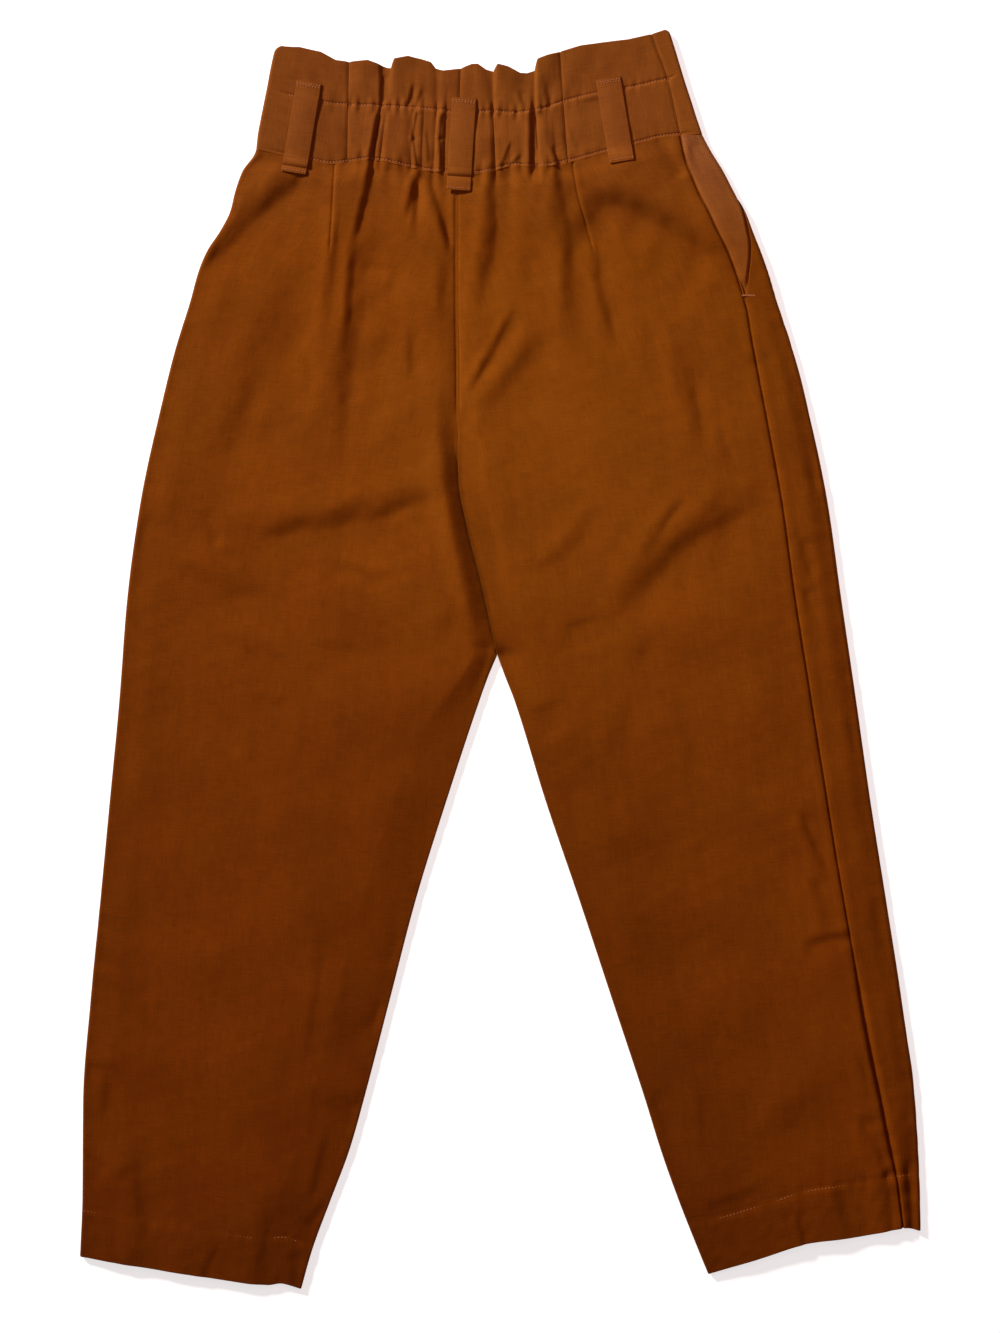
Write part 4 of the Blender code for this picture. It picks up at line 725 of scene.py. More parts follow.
    def point(self, row, wrap, inward=0.0):
        """Point of the tube; inward moves it towards the tube's inside."""
        row, wrap, inward = np.broadcast_arrays(row, wrap, inward)
        roll = self.roll(row)
        quarter = roll * math.pi / 2
        angle = np.clip(wrap, -quarter, quarter) / roll
        over = np.maximum(wrap - quarter, 0.0)
        under = np.maximum(-wrap - quarter, 0.0)
        around = WALL / 2 + roll - (roll - inward) * np.cos(angle)
        inset = np.where(over > 0, WALL / 2 + roll + over,
                         np.where(under > 0, WALL / 2 + roll + under, around))
        back_x, back_y = self.plan("back", row, inset)
        front_x, front_y = self.plan("front", row, inset)
        share = ease((wrap + quarter) / (2.0 * quarter))
        x, y = mix(front_x, back_x, share), mix(front_y, back_y, share)
        upper = self.upper_height(row, x, y, inset) - inward
        dents = -fold_height(x, y, FRONT_FOLDS) * ease(under / 15.0)
        lower = WALL / 2 + inward + dents
        rolled = WALL / 2 + roll + (roll - inward) * np.sin(angle)
        top = self.upper_height(row, x, y, WALL / 2 + roll + 0.0 * inset)
        lift = top - (WALL / 2 + 2.0 * roll)
        rolled = rolled + lift * ease((np.sin(angle) + 1.0) / 2.0)
        height = np.where(over > 0, upper, np.where(under > 0, lower, rolled))
        return np.stack((x, y, height), axis=-1)

    def wrap_at(self, layer, row, from_inner):
        roll = self.roll(row)
        return self.width(layer, row) - from_inner - WALL / 2 - roll + roll * math.pi / 2

    def turned_edge(self, row, turn_steps):
        """Strip that is turned down along the inner edge, tip last."""
        start = self.point(row, self.wrap_at("back", row, self.reach(row)))
        inner, outer = self.ends("back", row)
        outwards = unit(inner - outer)
        step = self.turn_length(row) / turn_steps
        points = [start]
        for index in range(turn_steps):
            turned = (index + 0.5) / turn_steps / mix(1.0, EDGE_SHARE, ease(self.bend(row)))
            angle = self.bend(row) * math.pi / 2 * np.minimum(turned, 1.0)
            side = outwards * (step * np.cos(angle))[..., None]
            drop = -step * np.sin(angle)
            points.append(points[-1] + np.concatenate((side, drop[..., None]), axis=-1))
        return np.stack(points[1:], axis=1)


LEFT = Leg("left", -504.0, -478.0, LEFT_WAIST)
RIGHT = Leg("right", -492.0, -457.6, RIGHT_WAIST)
print("widths at the crotch, mm:", [round(float(leg.width("back", np.array(0.0))), 1)
                                    for leg in (LEFT, RIGHT)])

# %% [markdown]
# ## Walls of cloth
# A cloth piece is a grid of points on its middle surface.  Both sides are offset along the
# normals and joined round the border by a ring that stands out a little, which rounds the raw
# edge.  Building the wall from the grid keeps the columns in line with the seams, which a
# remeshed or simulated cloth would lose.

# %% Cloth wall
shells = {}              # finished pieces, by the node that each of them replaces


def to_model(points):
    return (points + TABLE_SHIFT) * MM


def add_object(name, data):
    made = bpy.data.objects.new(name, data)
    bpy.context.collection.objects.link(made)
    return made


def grid_normals(grid):
    return unit(np.cross(np.gradient(grid, axis=1), np.gradient(grid, axis=0)))


def draw_back(lines, gap):
    """Draw the first line of a grid back towards the third one, to leave a seam's gap."""
    lines[0] += unit(lines[2] - lines[0]) * gap


def volume_sign(vertices, faces):
    """Above zero where the faces of a closed mesh look outwards."""
    total = 0.0
    for corners in ((0, 1, 2), (0, 2, 3)):
        a, b, c = np.moveaxis(vertices[faces[:, corners]], 1, 0)
        total += np.einsum("ij,ij->", a, np.cross(b, c))
    return total


def add_cloth_map(mesh, places):
    """Weave places in metres, given for each vertex."""
    corners = np.empty(len(mesh.loops), np.int32)
    mesh.loops.foreach_get("vertex_index", corners)
    layer = mesh.uv_layers.new(name="cloth")
    layer.data.foreach_set("uv", places[corners].astype(np.float32).ravel())


def cloth_wall(node, grid, wall, cloth_uv, material):
    """Closed wall on both sides of a grid of middle points, with a rounded border."""
    name = node + "_cloth"
    rows, columns = grid.shape[:2]
    normals = grid_normals(grid)
    sides = [(grid + normals * wall * sign).reshape(-1, 3) for sign in (0.5, -0.5)]
    index = np.arange(rows * columns).reshape(rows, columns)
    border = np.concatenate((index[0, :-1], index[:-1, -1], index[-1, :0:-1], index[:0:-1, 0]))
    inner = index[np.clip(np.arange(rows), 1, rows - 2)][:, np.clip(
        np.arange(columns), 1, columns - 2)].reshape(-1)[border]
    flat = grid.reshape(-1, 3)
    ring = flat[border] + unit(flat[border] - flat[inner]) * wall * 0.35
    vertices = to_model(np.concatenate((*sides, ring)))
    count = rows * columns
    quads = np.stack((index[:-1, :-1], index[:-1, 1:], index[1:, 1:], index[1:, :-1]), axis=-1)
    quads = quads.reshape(-1, 4)
    lower = quads[:, ::-1] + count
    rim = np.arange(len(border)) + 2 * count
    after, rim_after = np.roll(border, -1), np.roll(rim, -1)
    upper_rim = np.stack((border, rim, rim_after, after), axis=-1)
    lower_rim = np.stack((rim, border + count, after + count, rim_after), axis=-1)
    faces = np.concatenate((quads, lower, upper_rim, lower_rim))
    if volume_sign(vertices, faces) < 0.0:
        faces = faces[:, ::-1]
    mesh = bpy.data.meshes.new(name)
    mesh.from_pydata(vertices.tolist(), [], faces.tolist())
    places = cloth_uv.reshape(-1, 2)
    add_cloth_map(mesh, np.concatenate((places, places, places[border])) * MM)
    mesh.shade_smooth()
    mesh.materials.append(material)
    shells[node] = add_object(name, mesh)
    print(name, len(faces) * 2, "triangles, mm:",
          np.round(np.ptp(vertices, axis=0) * 1000, 1).tolist())


def columns_between(start, end, near_start, near_end, count):
    """Columns from start to end on each row, set close together at the two ends."""
    way = np.sign(end - start)
    first = [start + way * step for step in near_start]
    last = [end - way * step for step in reversed(near_end)]
    middle = [mix(first[-1], last[0], (i + 1) / (count + 1)) for i in range(count)]
    return np.stack(first + middle + last, axis=-1)


# %% [markdown]
# ## Node helpers
# A material or a Geometry Nodes tree is written as a short recipe.  One small class stands for an
# output that can be added and multiplied like a number, and one method makes any other node.

# %% Recipes
class Flow:
    """An output of a node that takes part in sums."""

    def __init__(self, recipe, output):
        self.recipe = recipe
        self.output = output

    def _maths(self, operation, *values):
        return self.recipe.node("ShaderNodeMath", {"operation": operation}, values)

    def bell(self, width):
        """One where this is zero, fading to nothing a few widths away."""
        share = self / width
        return self._maths("EXPONENT", share * share * -1.0)

    def size(self):
        return self._maths("ABSOLUTE", self)

    def __add__(self, other):
        return self._maths("ADD", self, other)

    def __sub__(self, other):
        return self._maths("SUBTRACT", self, other)

    def __rsub__(self, other):
        return self._maths("SUBTRACT", other, self)

    def __mul__(self, other):
        return self._maths("MULTIPLY", self, other)

    def __truediv__(self, other):
        return self._maths("DIVIDE", self, other)

    def sine(self):
        return self._maths("SINE", self)

    def clamp(self, low=0.0, high=1.0):
        return self._maths("MINIMUM", self._maths("MAXIMUM", self, low), high)

    __radd__ = __add__
    __rmul__ = __mul__


class Recipe:
    """A node tree that is filled node by node."""

    def __init__(self, tree):
        self.tree = tree

    def node(self, kind, settings=None, values=(), out=0):
        made = self.tree.nodes.new(kind)
        for key, value in (settings or {}).items():
            if key == "stops":
                ramp = made.color_ramp
                for place, colour in value[1:-1]:
                    ramp.elements.new(place)
                for element, (place, colour) in zip(ramp.elements, value):
                    element.position, element.color = place, colour
            else:
                setattr(made, key, value)
        pairs = values.items() if isinstance(values, dict) else enumerate(values)
        for key, value in pairs:
            if isinstance(value, Flow):
                self.tree.links.new(value.output, made.inputs[key])
            else:
                made.inputs[key].default_value = value
        if not made.outputs:
            return made
        return Flow(self, made.outputs[out])

    def also(self, flow, out):
        """Another output of the node that a flow comes from."""
        return Flow(self, flow.output.node.outputs[out])

    def join(self, flow, socket):
        self.tree.links.new(flow.output, socket)

    def noise(self, place, scale, detail, roughness=0.5):
        return self.node("ShaderNodeTexNoise", {}, {
            "Vector": place, "Scale": scale, "Detail": detail, "Roughness": roughness})

    def grained(self, scale, dark, light):
        """Fine noise, and a colour between two that follows it."""
        grain = self.noise(self.node("ShaderNodeTexCoord", out=3), scale, 2.0)
        stops = ((0.3, (*dark, 1.0)), (0.7, (*light, 1.0)))
        return grain, self.node("ShaderNodeValToRGB", {"stops": stops}, (grain,))


def new_material(name):
    """Material, its recipe and its surface shader."""
    material = bpy.data.materials.new(name)
    material.use_nodes = True
    return material, Recipe(material.node_tree), material.node_tree.nodes["Principled BSDF"]


# %% [markdown]
# ## The cloth
# It is a plain weave of linen and cotton with slubs, thicker stretches of yarn, in both
# directions.  The pattern follows the cloth's own lengths, kept in a UV map in metres, so it runs
# with the legs and round the folds.  The weave and slubs are a fine bump, and the slubs and an
# uneven dye vary the colour.  Light and shade are also painted into the colour: a paler, less red
# painted sheen towards the waist, a painted highlight over the seat, painted shade towards the
# hems, along the inner edges, the left outer edge and down the left leg, painted shade in the
# hollows beside the panels' two main folds, and the other pieces brighter towards the right.

# %% Painted light and shade of the leg panels
# the line along which the right back panel folds over the left one, as the stops of a ramp that
# places the painted shade beside it: its grey is the distance to the left of the middle, and white
# is RAMP_WIDTH
FOLD_DOWN, FOLD_UP, RAMP_WIDTH = 24.0, 190.0, 40.0
fold_levels = np.linspace(-FOLD_DOWN, FOLD_UP, 14)
fold_x = np.where(fold_levels < CROTCH, LEFT.inner(fold_levels), centre_back(fold_levels))
FOLD_STOPS = tuple(
    (float((level + FOLD_DOWN) / (FOLD_UP + FOLD_DOWN)), (*(float(-x / RAMP_WIDTH),) * 3, 1.0))
    for level, x in zip(fold_levels, fold_x))


def painted_light_tone(recipe, sideways, height, across):
    """Painted light and shade of the panels, and how strong the painted highlight on the seat is.
    """
    left, right = (sideways * -8.0).clamp(), (sideways * 8.0).clamp()
    low = (height * -1.0).clamp()
    # a painted highlight over the seat
    seat_highlight = (sideways - 0.04).bell(0.15) * (height - 0.17).bell(0.15)
    painted_light = 0.95 + seat_highlight * 0.16
    # painted shade along the inner edges, the left outer edge, down the left leg and at the hems
    inner = sideways.size() - low * 0.325
    painted_light = painted_light - inner.bell(0.085) * (low * 14.0).clamp() * (0.10 + right * 0.12)
    painted_light = painted_light - across.size().bell(0.045) * left * 0.15
    painted_light = painted_light - left * (((0.16 - height) * 4.0).clamp() * 0.07 + low * 0.10)
    painted_light = painted_light - (low - 0.40).clamp() * 1.3
    # painted shade in the hollow of the right hip's fold
    over = sideways - 0.071
    hip_fold_shade = (height - 0.373 + over * (over * 3.3 + 0.15)).bell(0.010)
    painted_light = painted_light - hip_fold_shade * (over - 0.052).bell(0.062) * 0.22
    # painted shade in the hollow beside the centre fold, narrow at the fold and wide beside it
    line = recipe.node("ShaderNodeValToRGB", {"stops": FOLD_STOPS},
                       ((height * 1000.0 + (FOLD_DOWN - 0.4)) / (FOLD_UP + FOLD_DOWN),))
    beside = sideways + line * (RAMP_WIDTH * MM) + 0.0007
    shade = beside.bell(0.0022) * 0.36 + (beside + 0.006).bell(0.006) * 0.13
    ends = ((height + 0.030) * 60.0).clamp() * ((0.193 - height) * 30.0).clamp()
    return painted_light - shade * ends, seat_highlight


print(len(FOLD_STOPS), "stops follow the centre fold")

# %% Cloth material
THREAD = 0.0008          # from one thread to the next, in metres
SLUB_ROUGHNESS = 0.55


def cloth_material(name, colour, roughness, paints_light=False):
    material, recipe, shader = new_material(name)
    place = recipe.node("ShaderNodeUVMap", {"uv_map": "cloth"})
    across = recipe.node("ShaderNodeSeparateXYZ", {}, (place,))
    along = recipe.also(across, 1)
    weave = (across * (math.pi / THREAD)).sine() * (along * (math.pi / THREAD)).sine()

    def streaks(scale_x, scale_y):
        at = recipe.node("ShaderNodeMapping", {},
                         {"Vector": place, "Scale": (scale_x, scale_y, 1)})
        return recipe.noise(at, 1.0, 2.0, SLUB_ROUGHNESS)

    long, warp, weft = streaks(170.0, 15.0), streaks(1250.0, 75.0), streaks(75.0, 1250.0)
    where = recipe.node("ShaderNodeTexCoord", out=3)
    dye, mottle = recipe.noise(where, 22.0, 3.0), recipe.noise(where, 95.0, 3.0)
    fuzz, patch = recipe.noise(where, 700.0, 2.0), recipe.noise(where, 17.0, 2.0)
    yarn = (warp - 0.5) * 0.9 + (weft - 0.5) * 1.1
    tone = 1.0 + yarn * 0.5 + (dye - 0.5) * 0.22 + (mottle - 0.5) * 0.2 + (fuzz - 0.5) * 0.14
    tone = tone + (long - 0.5) * 0.2
    sideways = recipe.node("ShaderNodeSeparateXYZ", {}, (where,))
    height = recipe.also(sideways, 1)
    painted_sheen = ((height + 0.42) / 0.62).clamp()
    if paints_light:
        # the panels take their painted light and shade and the painted highlight over the seat
        painted_light, seat_highlight = painted_light_tone(recipe, sideways, height, across)
        tone = tone * painted_light
        painted_sheen = (painted_sheen * 0.6 + painted_light * 0.4 + seat_highlight * 0.3).clamp(0.0, 1.2)
    else:
        # painted light: brighter towards the right and darker towards the left
        tone = tone * (1.03 + sideways * 0.55)
    # painted sheen: the colour is paler and less red towards the waist, over the top of the band
    # and where the painted light is strong, and redder in the painted shade and on the left;
    # patches of hue vary at random
    top = ((height - 0.33) * 11.0).clamp()
    left = (sideways * -8.0).clamp()
    green = 0.72 + painted_sheen * 0.27 + (patch - 0.5) * 0.14 + top * 0.08 - left * 0.04
    blue = 0.35 + painted_sheen * 0.65 + top * 1.3
    shading = recipe.node("ShaderNodeCombineColor", {}, (tone, tone * green, tone * blue))
    tint = recipe.node("ShaderNodeMix", {"data_type": "RGBA", "blend_type": "MULTIPLY"},
                       {"Factor": 1.0, "A": (*colour, 1.0), "B": shading}, out=2)
    relief = weave * 0.35 + yarn * 0.9 + fuzz * 0.3
    bump = recipe.node("ShaderNodeBump", {}, {"Height": relief, "Strength": 0.55,
                                             "Distance": 0.00025})
    recipe.join(tint, shader.inputs["Base Color"])
    recipe.join(roughness + (fuzz - 0.5) * 0.12, shader.inputs["Roughness"])
    recipe.join(bump, shader.inputs["Normal"])
    shader.inputs["Specular IOR Level"].default_value = 0.03
    return material


# the band's cloth is a little bluer than the panels' as a painted sheen, and the pocket cloth is
# paler and less red as painted light on cloth that lies in shade
panel_cloth = cloth_material("panel cloth", (0.260, 0.0640, 0.0027), 0.84, paints_light=True)
band_cloth = cloth_material("band cloth", (0.258, 0.0675, 0.0042), 0.84)
facing_cloth = cloth_material("pocket cloth", (0.290, 0.0860, 0.0110), 0.86)
loop_cloth = cloth_material("loop cloth", (0.280, 0.0750, 0.0053), 0.82)
print("cloth materials:", [m.name for m in bpy.data.materials if m.name.endswith("cloth")])

# %% [markdown]
# ## Leg panels
# The back of each leg runs from the centre seam and inseam over the top to the outseam.  On the
# left leg it also turns over the rolled edge.  On the right leg the outseam and the pocket lie on
# the upper side, so the front's side strip shows there.

# %% Rows of the legs
LEG_ROWS, SEAT_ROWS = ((174, 155))
near_waist = 1.0 - np.array((1.2, 0.6, 0.25)) / 388.0
near_hem = (-0.9995, -0.998)
ROWS = np.unique(np.concatenate((np.linspace(-1.0, 0.0, LEG_ROWS),
                                 np.linspace(0.0, 1.0, SEAT_ROWS)[1:], near_waist, near_hem)))
print(len(ROWS), "rows from hem to waist")

# distances of the columns from an edge and from the dart
NEAR = (0.0, 0.6, 1.2, 1.9, 2.8, 4.0, 5.5, 7.0, 8.5, 10.2, 12.0, 13.5, 15.0, 16.5, 18.0, 19.5,
        21.0, 23.0, 25.5, 28.5)
NEAR_DART = (0.0, 0.6, 1.2, 2.0, 3.2, 5.0)
TURN_STEPS = 7           # columns of a turned edge


def dart_wrap(leg, row):
    """Wrap of the dart's line, carried on down the leg at the same share of the width."""
    inner, outer = leg.ends("back", row)
    width = np.linalg.norm(outer - inner, axis=-1)
    level = mix(inner[..., 1], outer[..., 1], 0.4)
    x = leg.dart(np.clip(level, DART_END, 400.0))
    share = (x - outer[..., 0]) / (inner[..., 0] - outer[..., 0])
    low = 0.60 if leg.side == "left" else 0.46
    share = mix(low, share, ease((level - 180.0) / 120.0))
    roll = leg.roll(row)
    return share * width - WALL / 2 - roll + roll * math.pi / 2


def weave_places(leg, across, wrap):
    """Weave places that run with the leg, measured down its line at one wrap."""
    run = lengths_along(leg.point(ROWS, np.full(ROWS.shape, wrap)))
    return np.stack(np.broadcast_arrays(across, run[:, None]), axis=-1)


def back_panel(leg, edge):
    """Grid and weave places of a back panel, from the inner edge to the outseam."""
    quarter = leg.roll(ROWS) * math.pi / 2
    start = leg.wrap_at("back", ROWS, leg.reach(ROWS))
    dart = dart_wrap(leg, ROWS)
    wraps = [columns_between(start, dart, NEAR, NEAR_DART, 40),
             columns_between(dart, np.maximum(edge, quarter), NEAR_DART, NEAR[:7], 44)[:, 1:]]
    if leg.side == "left":
        wraps.append(quarter[:, None] * (1.0 - 2.0 * np.linspace(0.0, 1.0, 9)[1:]))
        wraps.append(mix(-quarter[:, None], edge[:, None], np.linspace(0.0, 1.0, 7)[1:]))
    wraps = np.concatenate(wraps, axis=1)
    step = leg.turn_length(ROWS)[:, None] / TURN_STEPS
    tip_wraps = start[:, None] + step * np.arange(TURN_STEPS, 0, -1)
    tip = leg.turned_edge(ROWS, TURN_STEPS)[:, ::-1]
    grid = np.concatenate((tip, leg.point(ROWS[:, None], wraps)), axis=1)
    return grid, weave_places(leg, np.concatenate((tip_wraps, wraps), axis=1) * leg.inward, 60.0)


def panel(node, grid, uv, wall=WALL, material=panel_cloth):
    """Wall of a panel whose top row is drawn back from the waist seam."""
    draw_back(grid[::-1], WAIST_GAP / 2)
    cloth_wall(node, grid, wall, uv, material)


panel("back_left", *back_panel(LEFT, np.full(ROWS.shape, LEFT_SEAM + SEAM_GAP / 2)))
panel("back_right", *back_panel(RIGHT, outseam(RIGHT.levels("back", ROWS)[1]) + SEAM_GAP / 2))

# %% Front panels
SIDE_STRIP = 34.0        # strip beyond the rolled edge that still has fine columns
EDGE_STRIP = 6.0


def front_panel(leg, seam_at, opening_at):
    """Grid and weave places of a front panel, from the outseam to the inner edge."""
    level = leg.levels("front", ROWS)[1]
    high = seam_at(level) - SEAM_GAP / 2
    high = np.where(level > POCKET_BOTTOM, np.minimum(high, opening_at(level)), high)[:, None]
    roll = leg.roll(ROWS)[:, None]
    quarter = roll * math.pi / 2
    low = -(leg.width("front", ROWS)[:, None] - WALL / 2 - roll + quarter)
    if leg.side == "right":
        near = -quarter - SIDE_STRIP
        shares = np.concatenate((np.array(NEAR[:8]) / 70.0, np.linspace(0.14, 1.0, 30)))
        wraps = high - (high - near) * shares
    else:
        near = high - EDGE_STRIP
        wraps = high - EDGE_STRIP * np.array((0.0, 0.1, 0.25, 0.5, 1.0))
    rest = mix(near, low + EDGE_STRIP, np.linspace(0.0, 1.0, 30)[1:])
    edge = low + EDGE_STRIP - EDGE_STRIP * np.array((0.3, 0.6, 0.8, 0.92, 1.0))
    wraps = np.concatenate((wraps, rest, edge), axis=1)
    return leg.point(ROWS[:, None], wraps), weave_places(leg, wraps * leg.inward + 0.4, -60.0)


def left_seam(level):
    return LEFT_SEAM + 0.0 * level


def left_opening(level):
    return LEFT_SEAM - (outseam(level) - pocket_edge(level))


panel("front_right", *front_panel(RIGHT, outseam, pocket_edge))
panel("front_left", *front_panel(LEFT, left_seam, left_opening))

# %% [markdown]
# ## Pocket facings
# Behind each slanted pocket opening lies a facing of the same cloth.  It is sewn into the outseam
# and goes on behind the opening's edge, where it rests against the inside of the front.

# %% Facings
def facing_inward(wrap, seam, opening):
    """How far the facing lies inside the front, behind the opening's edge."""
    run = seam - opening
    behind = (WALL + FACING_WALL) / 2 + POCKET_GAP
    share = (wrap - opening) / np.clip(run, 1.0, 3.6)
    return behind * (1.0 - ease(share) * ease((run - 3.0) / 6.0))


def pocket_facing(leg, seam_at, opening_at):
    level = leg.levels("front", ROWS)[1]
    rows = ROWS[level >= POCKET_BOTTOM - POCKET_FOOT][:, None]
    level = leg.levels("front", rows)[1]
    seam = seam_at(level) - SEAM_GAP / 2
    opening = np.minimum(opening_at(level), seam)
    shown = mix(seam, opening, 1.0 - (1.0 - np.linspace(0.0, 1.0, 36)) ** 1.6)
    hidden = opening - np.linspace(0.0, POCKET_TUCK, 12)[1:]
    wraps = np.concatenate((shown, hidden), axis=1)
    uv = np.stack(np.broadcast_arrays(wraps, level), axis=-1)
    return leg.point(rows, wraps, facing_inward(wraps, seam, opening)), uv


panel("pocket_facing_right", *pocket_facing(RIGHT, outseam, pocket_edge), FACING_WALL,
      facing_cloth)
panel("pocket_facing_left", *pocket_facing(LEFT, left_seam, left_opening), FACING_WALL,
      facing_cloth)

# %% [markdown]
# ## Waistband
# The band is a doubled strip.  Its lower part is a casing with an elastic between two stitch
# rows, and its upper part stands up as a ruffle.  The stitches pull the cloth into short puckers,
# so these are strongest at the two rows and fade away from them.

# %% Band surface
BAND_STEP = 1.0
CASING_ROWS, RUFFLE_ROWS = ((40, 32))
CLIMBS = np.unique(np.concatenate((
    np.linspace(0.0, 1.0, CASING_ROWS), np.linspace(1.0, 2.0, RUFFLE_ROWS),
    (0.004, 0.012, 0.025, 0.04, 0.055, 0.07), (0.955, 0.97, 0.985, 1.015, 1.03, 1.045),
    (1.985, 1.996))))
SEAM_SINK = 0.7


def band_detail(grid, climb):
    """Puckers at the stitch rows, the groove of each row, the creases and soft waves."""
    x, y = grid[..., 0], grid[..., 1]
    to_stitch = (climb - 1.0) * np.where(climb > 1.0, RUFFLE_DEPTH, CASING_DEPTH)
    to_seam = climb * CASING_DEPTH - 2.2
    gain = mix(BAND_GAIN, RUFFLE_GAIN, ease((climb - 0.95) / 0.4))
    grid[..., 2] = BAND_MIDDLE + gain * (grid[..., 2] - BAND_MIDDLE)
    elastic = mix(0.35, 1.0, elastic_at(x))
    height = elastic * ripple(x, 0.15 * y, 7.5, 31) * bell(to_stitch, 6.0)
    height += 0.9 * elastic * waist_puckers(x, y) * bell(to_seam, 7.0)
    height -= 0.75 * bell(to_stitch, 1.3)
    height -= 0.55 * bell(to_seam, 1.2)
    height += 0.35 * ripple(x, 0.5 * y, 13.0, 33) * mix(0.5, 1.0, elastic)
    height += fold_height(x, y, BAND_FOLDS)
    height += 0.4 * ripple(x, 0.3 * y, 24.0, 34) * ease(climb - 1.0) * elastic
    grid[..., 2] = np.maximum(grid[..., 2] + height, BAND_REST - 0.25)
    return grid


def band_places(first, last):
    """Places along the band, about a step of cloth apart."""
    places = []
    for index in range(first, last):
        span = abs(GATHERS[index + 1, 0] - GATHERS[index, 0])
        rise = abs(GATHERS[index + 1, 5] - GATHERS[index, 5])
        count = max(4, int((span + 1.5 * rise) / BAND_STEP))
        places += [index + step / count for step in range(count)]
    return np.array(places + [float(last)])


def band_part(first, last):
    """Grid of the band between two rows of the gather table, each of its rows at one climb."""
    climb = CLIMBS[:, None]
    grid = gather_line(gather_rows(band_places(first, last)), climb)
    soft = grid[..., 2].copy()
    for _ in range(10):
        soft[:, 1:-1] = (soft[:, :-2] + 2.0 * soft[:, 1:-1] + soft[:, 2:]) / 4.0
    grid[..., 2] = mix(grid[..., 2], soft, ease((climb - 1.0) / 0.3))
    return band_detail(grid, climb)


def sink_side(side):
    """Sink the cloth beside a seam that runs along the first line of a grid."""
    away = np.linalg.norm(side[..., :2] - side[0, :, :2], axis=-1)
    side[..., 2] -= SEAM_SINK * ease((side[..., 2] - 1.4) / 0.8) * bell(away, 1.6)


def band_piece(node, grid, seam_first=True, seam_last=True):
    """Wall of a band piece, sunk and drawn back at the seams of its first and last columns."""
    columns = grid.swapaxes(0, 1)
    sides = [columns] * seam_first + [columns[::-1]] * seam_last
    for side in sides:
        sink_side(side)
    for side in sides:
        draw_back(side, SEAM_GAP / 2)
    draw_back(grid, WAIST_GAP / 2)
    rise, run = lengths_along(grid[:, 0]), lengths_along(grid[len(grid) // 2])
    uv = np.stack(np.broadcast_arrays(rise[:, None], run), axis=-1)
    cloth_wall(node, grid, BAND_WALL, uv, band_cloth)


print(len(CLIMBS), "rows from the waist seam to the ruffle's edge")

# %% Back and right side of the band
band_piece("band_back_left", band_part(SEAM_LEFT, SEAM_CENTRE))
band_piece("band_back_right", band_part(SEAM_CENTRE, SEAM_RIGHT))
band_piece("band_side_right", band_part(SEAM_RIGHT, SEAM_SIDE))

# %% Rolled ends of the band
QUARTER = BAND_ROLL * math.pi / 2
LEFT_CORNER, RIGHT_CORNER = 4.5, 2.5     # radii of the band's top corners
FRONT_COLUMNS = 150


def end_level(edge_x, ruffle_level, climb):
    """Level of a band row where it meets a rolled end."""
    low = mix(seam_level(edge_x), stitch_level(edge_x), np.minimum(climb, 1.0))
    return mix(low, ruffle_level, np.clip(climb - 1.0, 0.0, 1.0))


def band_roll(edge_x, level, inward, wraps):
    """Rolled end of the band: points at wrap lengths round an edge."""
    wraps, edge_x, level = np.broadcast_arrays(wraps[None, :], edge_x[:, None], level[:, None])
    angle = np.clip(wraps / BAND_ROLL, -math.pi / 2, math.pi / 2)
    inset = BAND_WALL / 2 + BAND_ROLL * (1.0 - np.cos(angle)) + np.maximum(-wraps - QUARTER, 0.0)
    height = BAND_WALL / 2 + BAND_ROLL * (1.0 + np.sin(angle))
    x = edge_x + inward * inset
    return np.stack((x, level + waist_line(x) - waist_line(edge_x), height), axis=-1)


def rounded_corner(edge_x, levels, inward, radius):
    """Round the top corner of the band's end."""
    share = np.clip(1.0 - (levels.max() - levels) / radius, 0.0, 1.0)
    return edge_x + inward * radius * (1.0 - np.sqrt(1.0 - share * share * 0.98))


def bridge(left, right, count):
    """Columns between two columns of points, rising smoothly from the one to the other."""
    shares = np.linspace(0.0, 1.0, count + 2)[1:-1]
    points = mix(left[:, None], right[:, None], shares[:, None])
    points[..., 2] = mix(left[:, None, 2], right[:, None, 2], ease(shares))
    return points


print("length of a rolled end, mm:", round(2 * QUARTER, 1))

# %% Left side of the band
# its end turns a little under
left_levels = end_level(LEFT_WAIST[0], RUFFLE_LEFT, CLIMBS)
left_x = band_left_edge(left_levels)
edge_x = rounded_corner(left_x, left_levels, 1.0, LEFT_CORNER)
under = np.linspace(-BAND_UNDER, -QUARTER, 9)[:-1]
wraps = np.concatenate((under, np.linspace(-QUARTER, QUARTER, 12)))
rolled = band_roll(edge_x, left_levels, 1.0, wraps)
flat_part = band_part(0, SEAM_LEFT)
between = bridge(rolled[:, -1], flat_part[:, 0], 14)
band_piece("band_side_left", np.concatenate((rolled, between, flat_part), axis=1),
           seam_first=False)

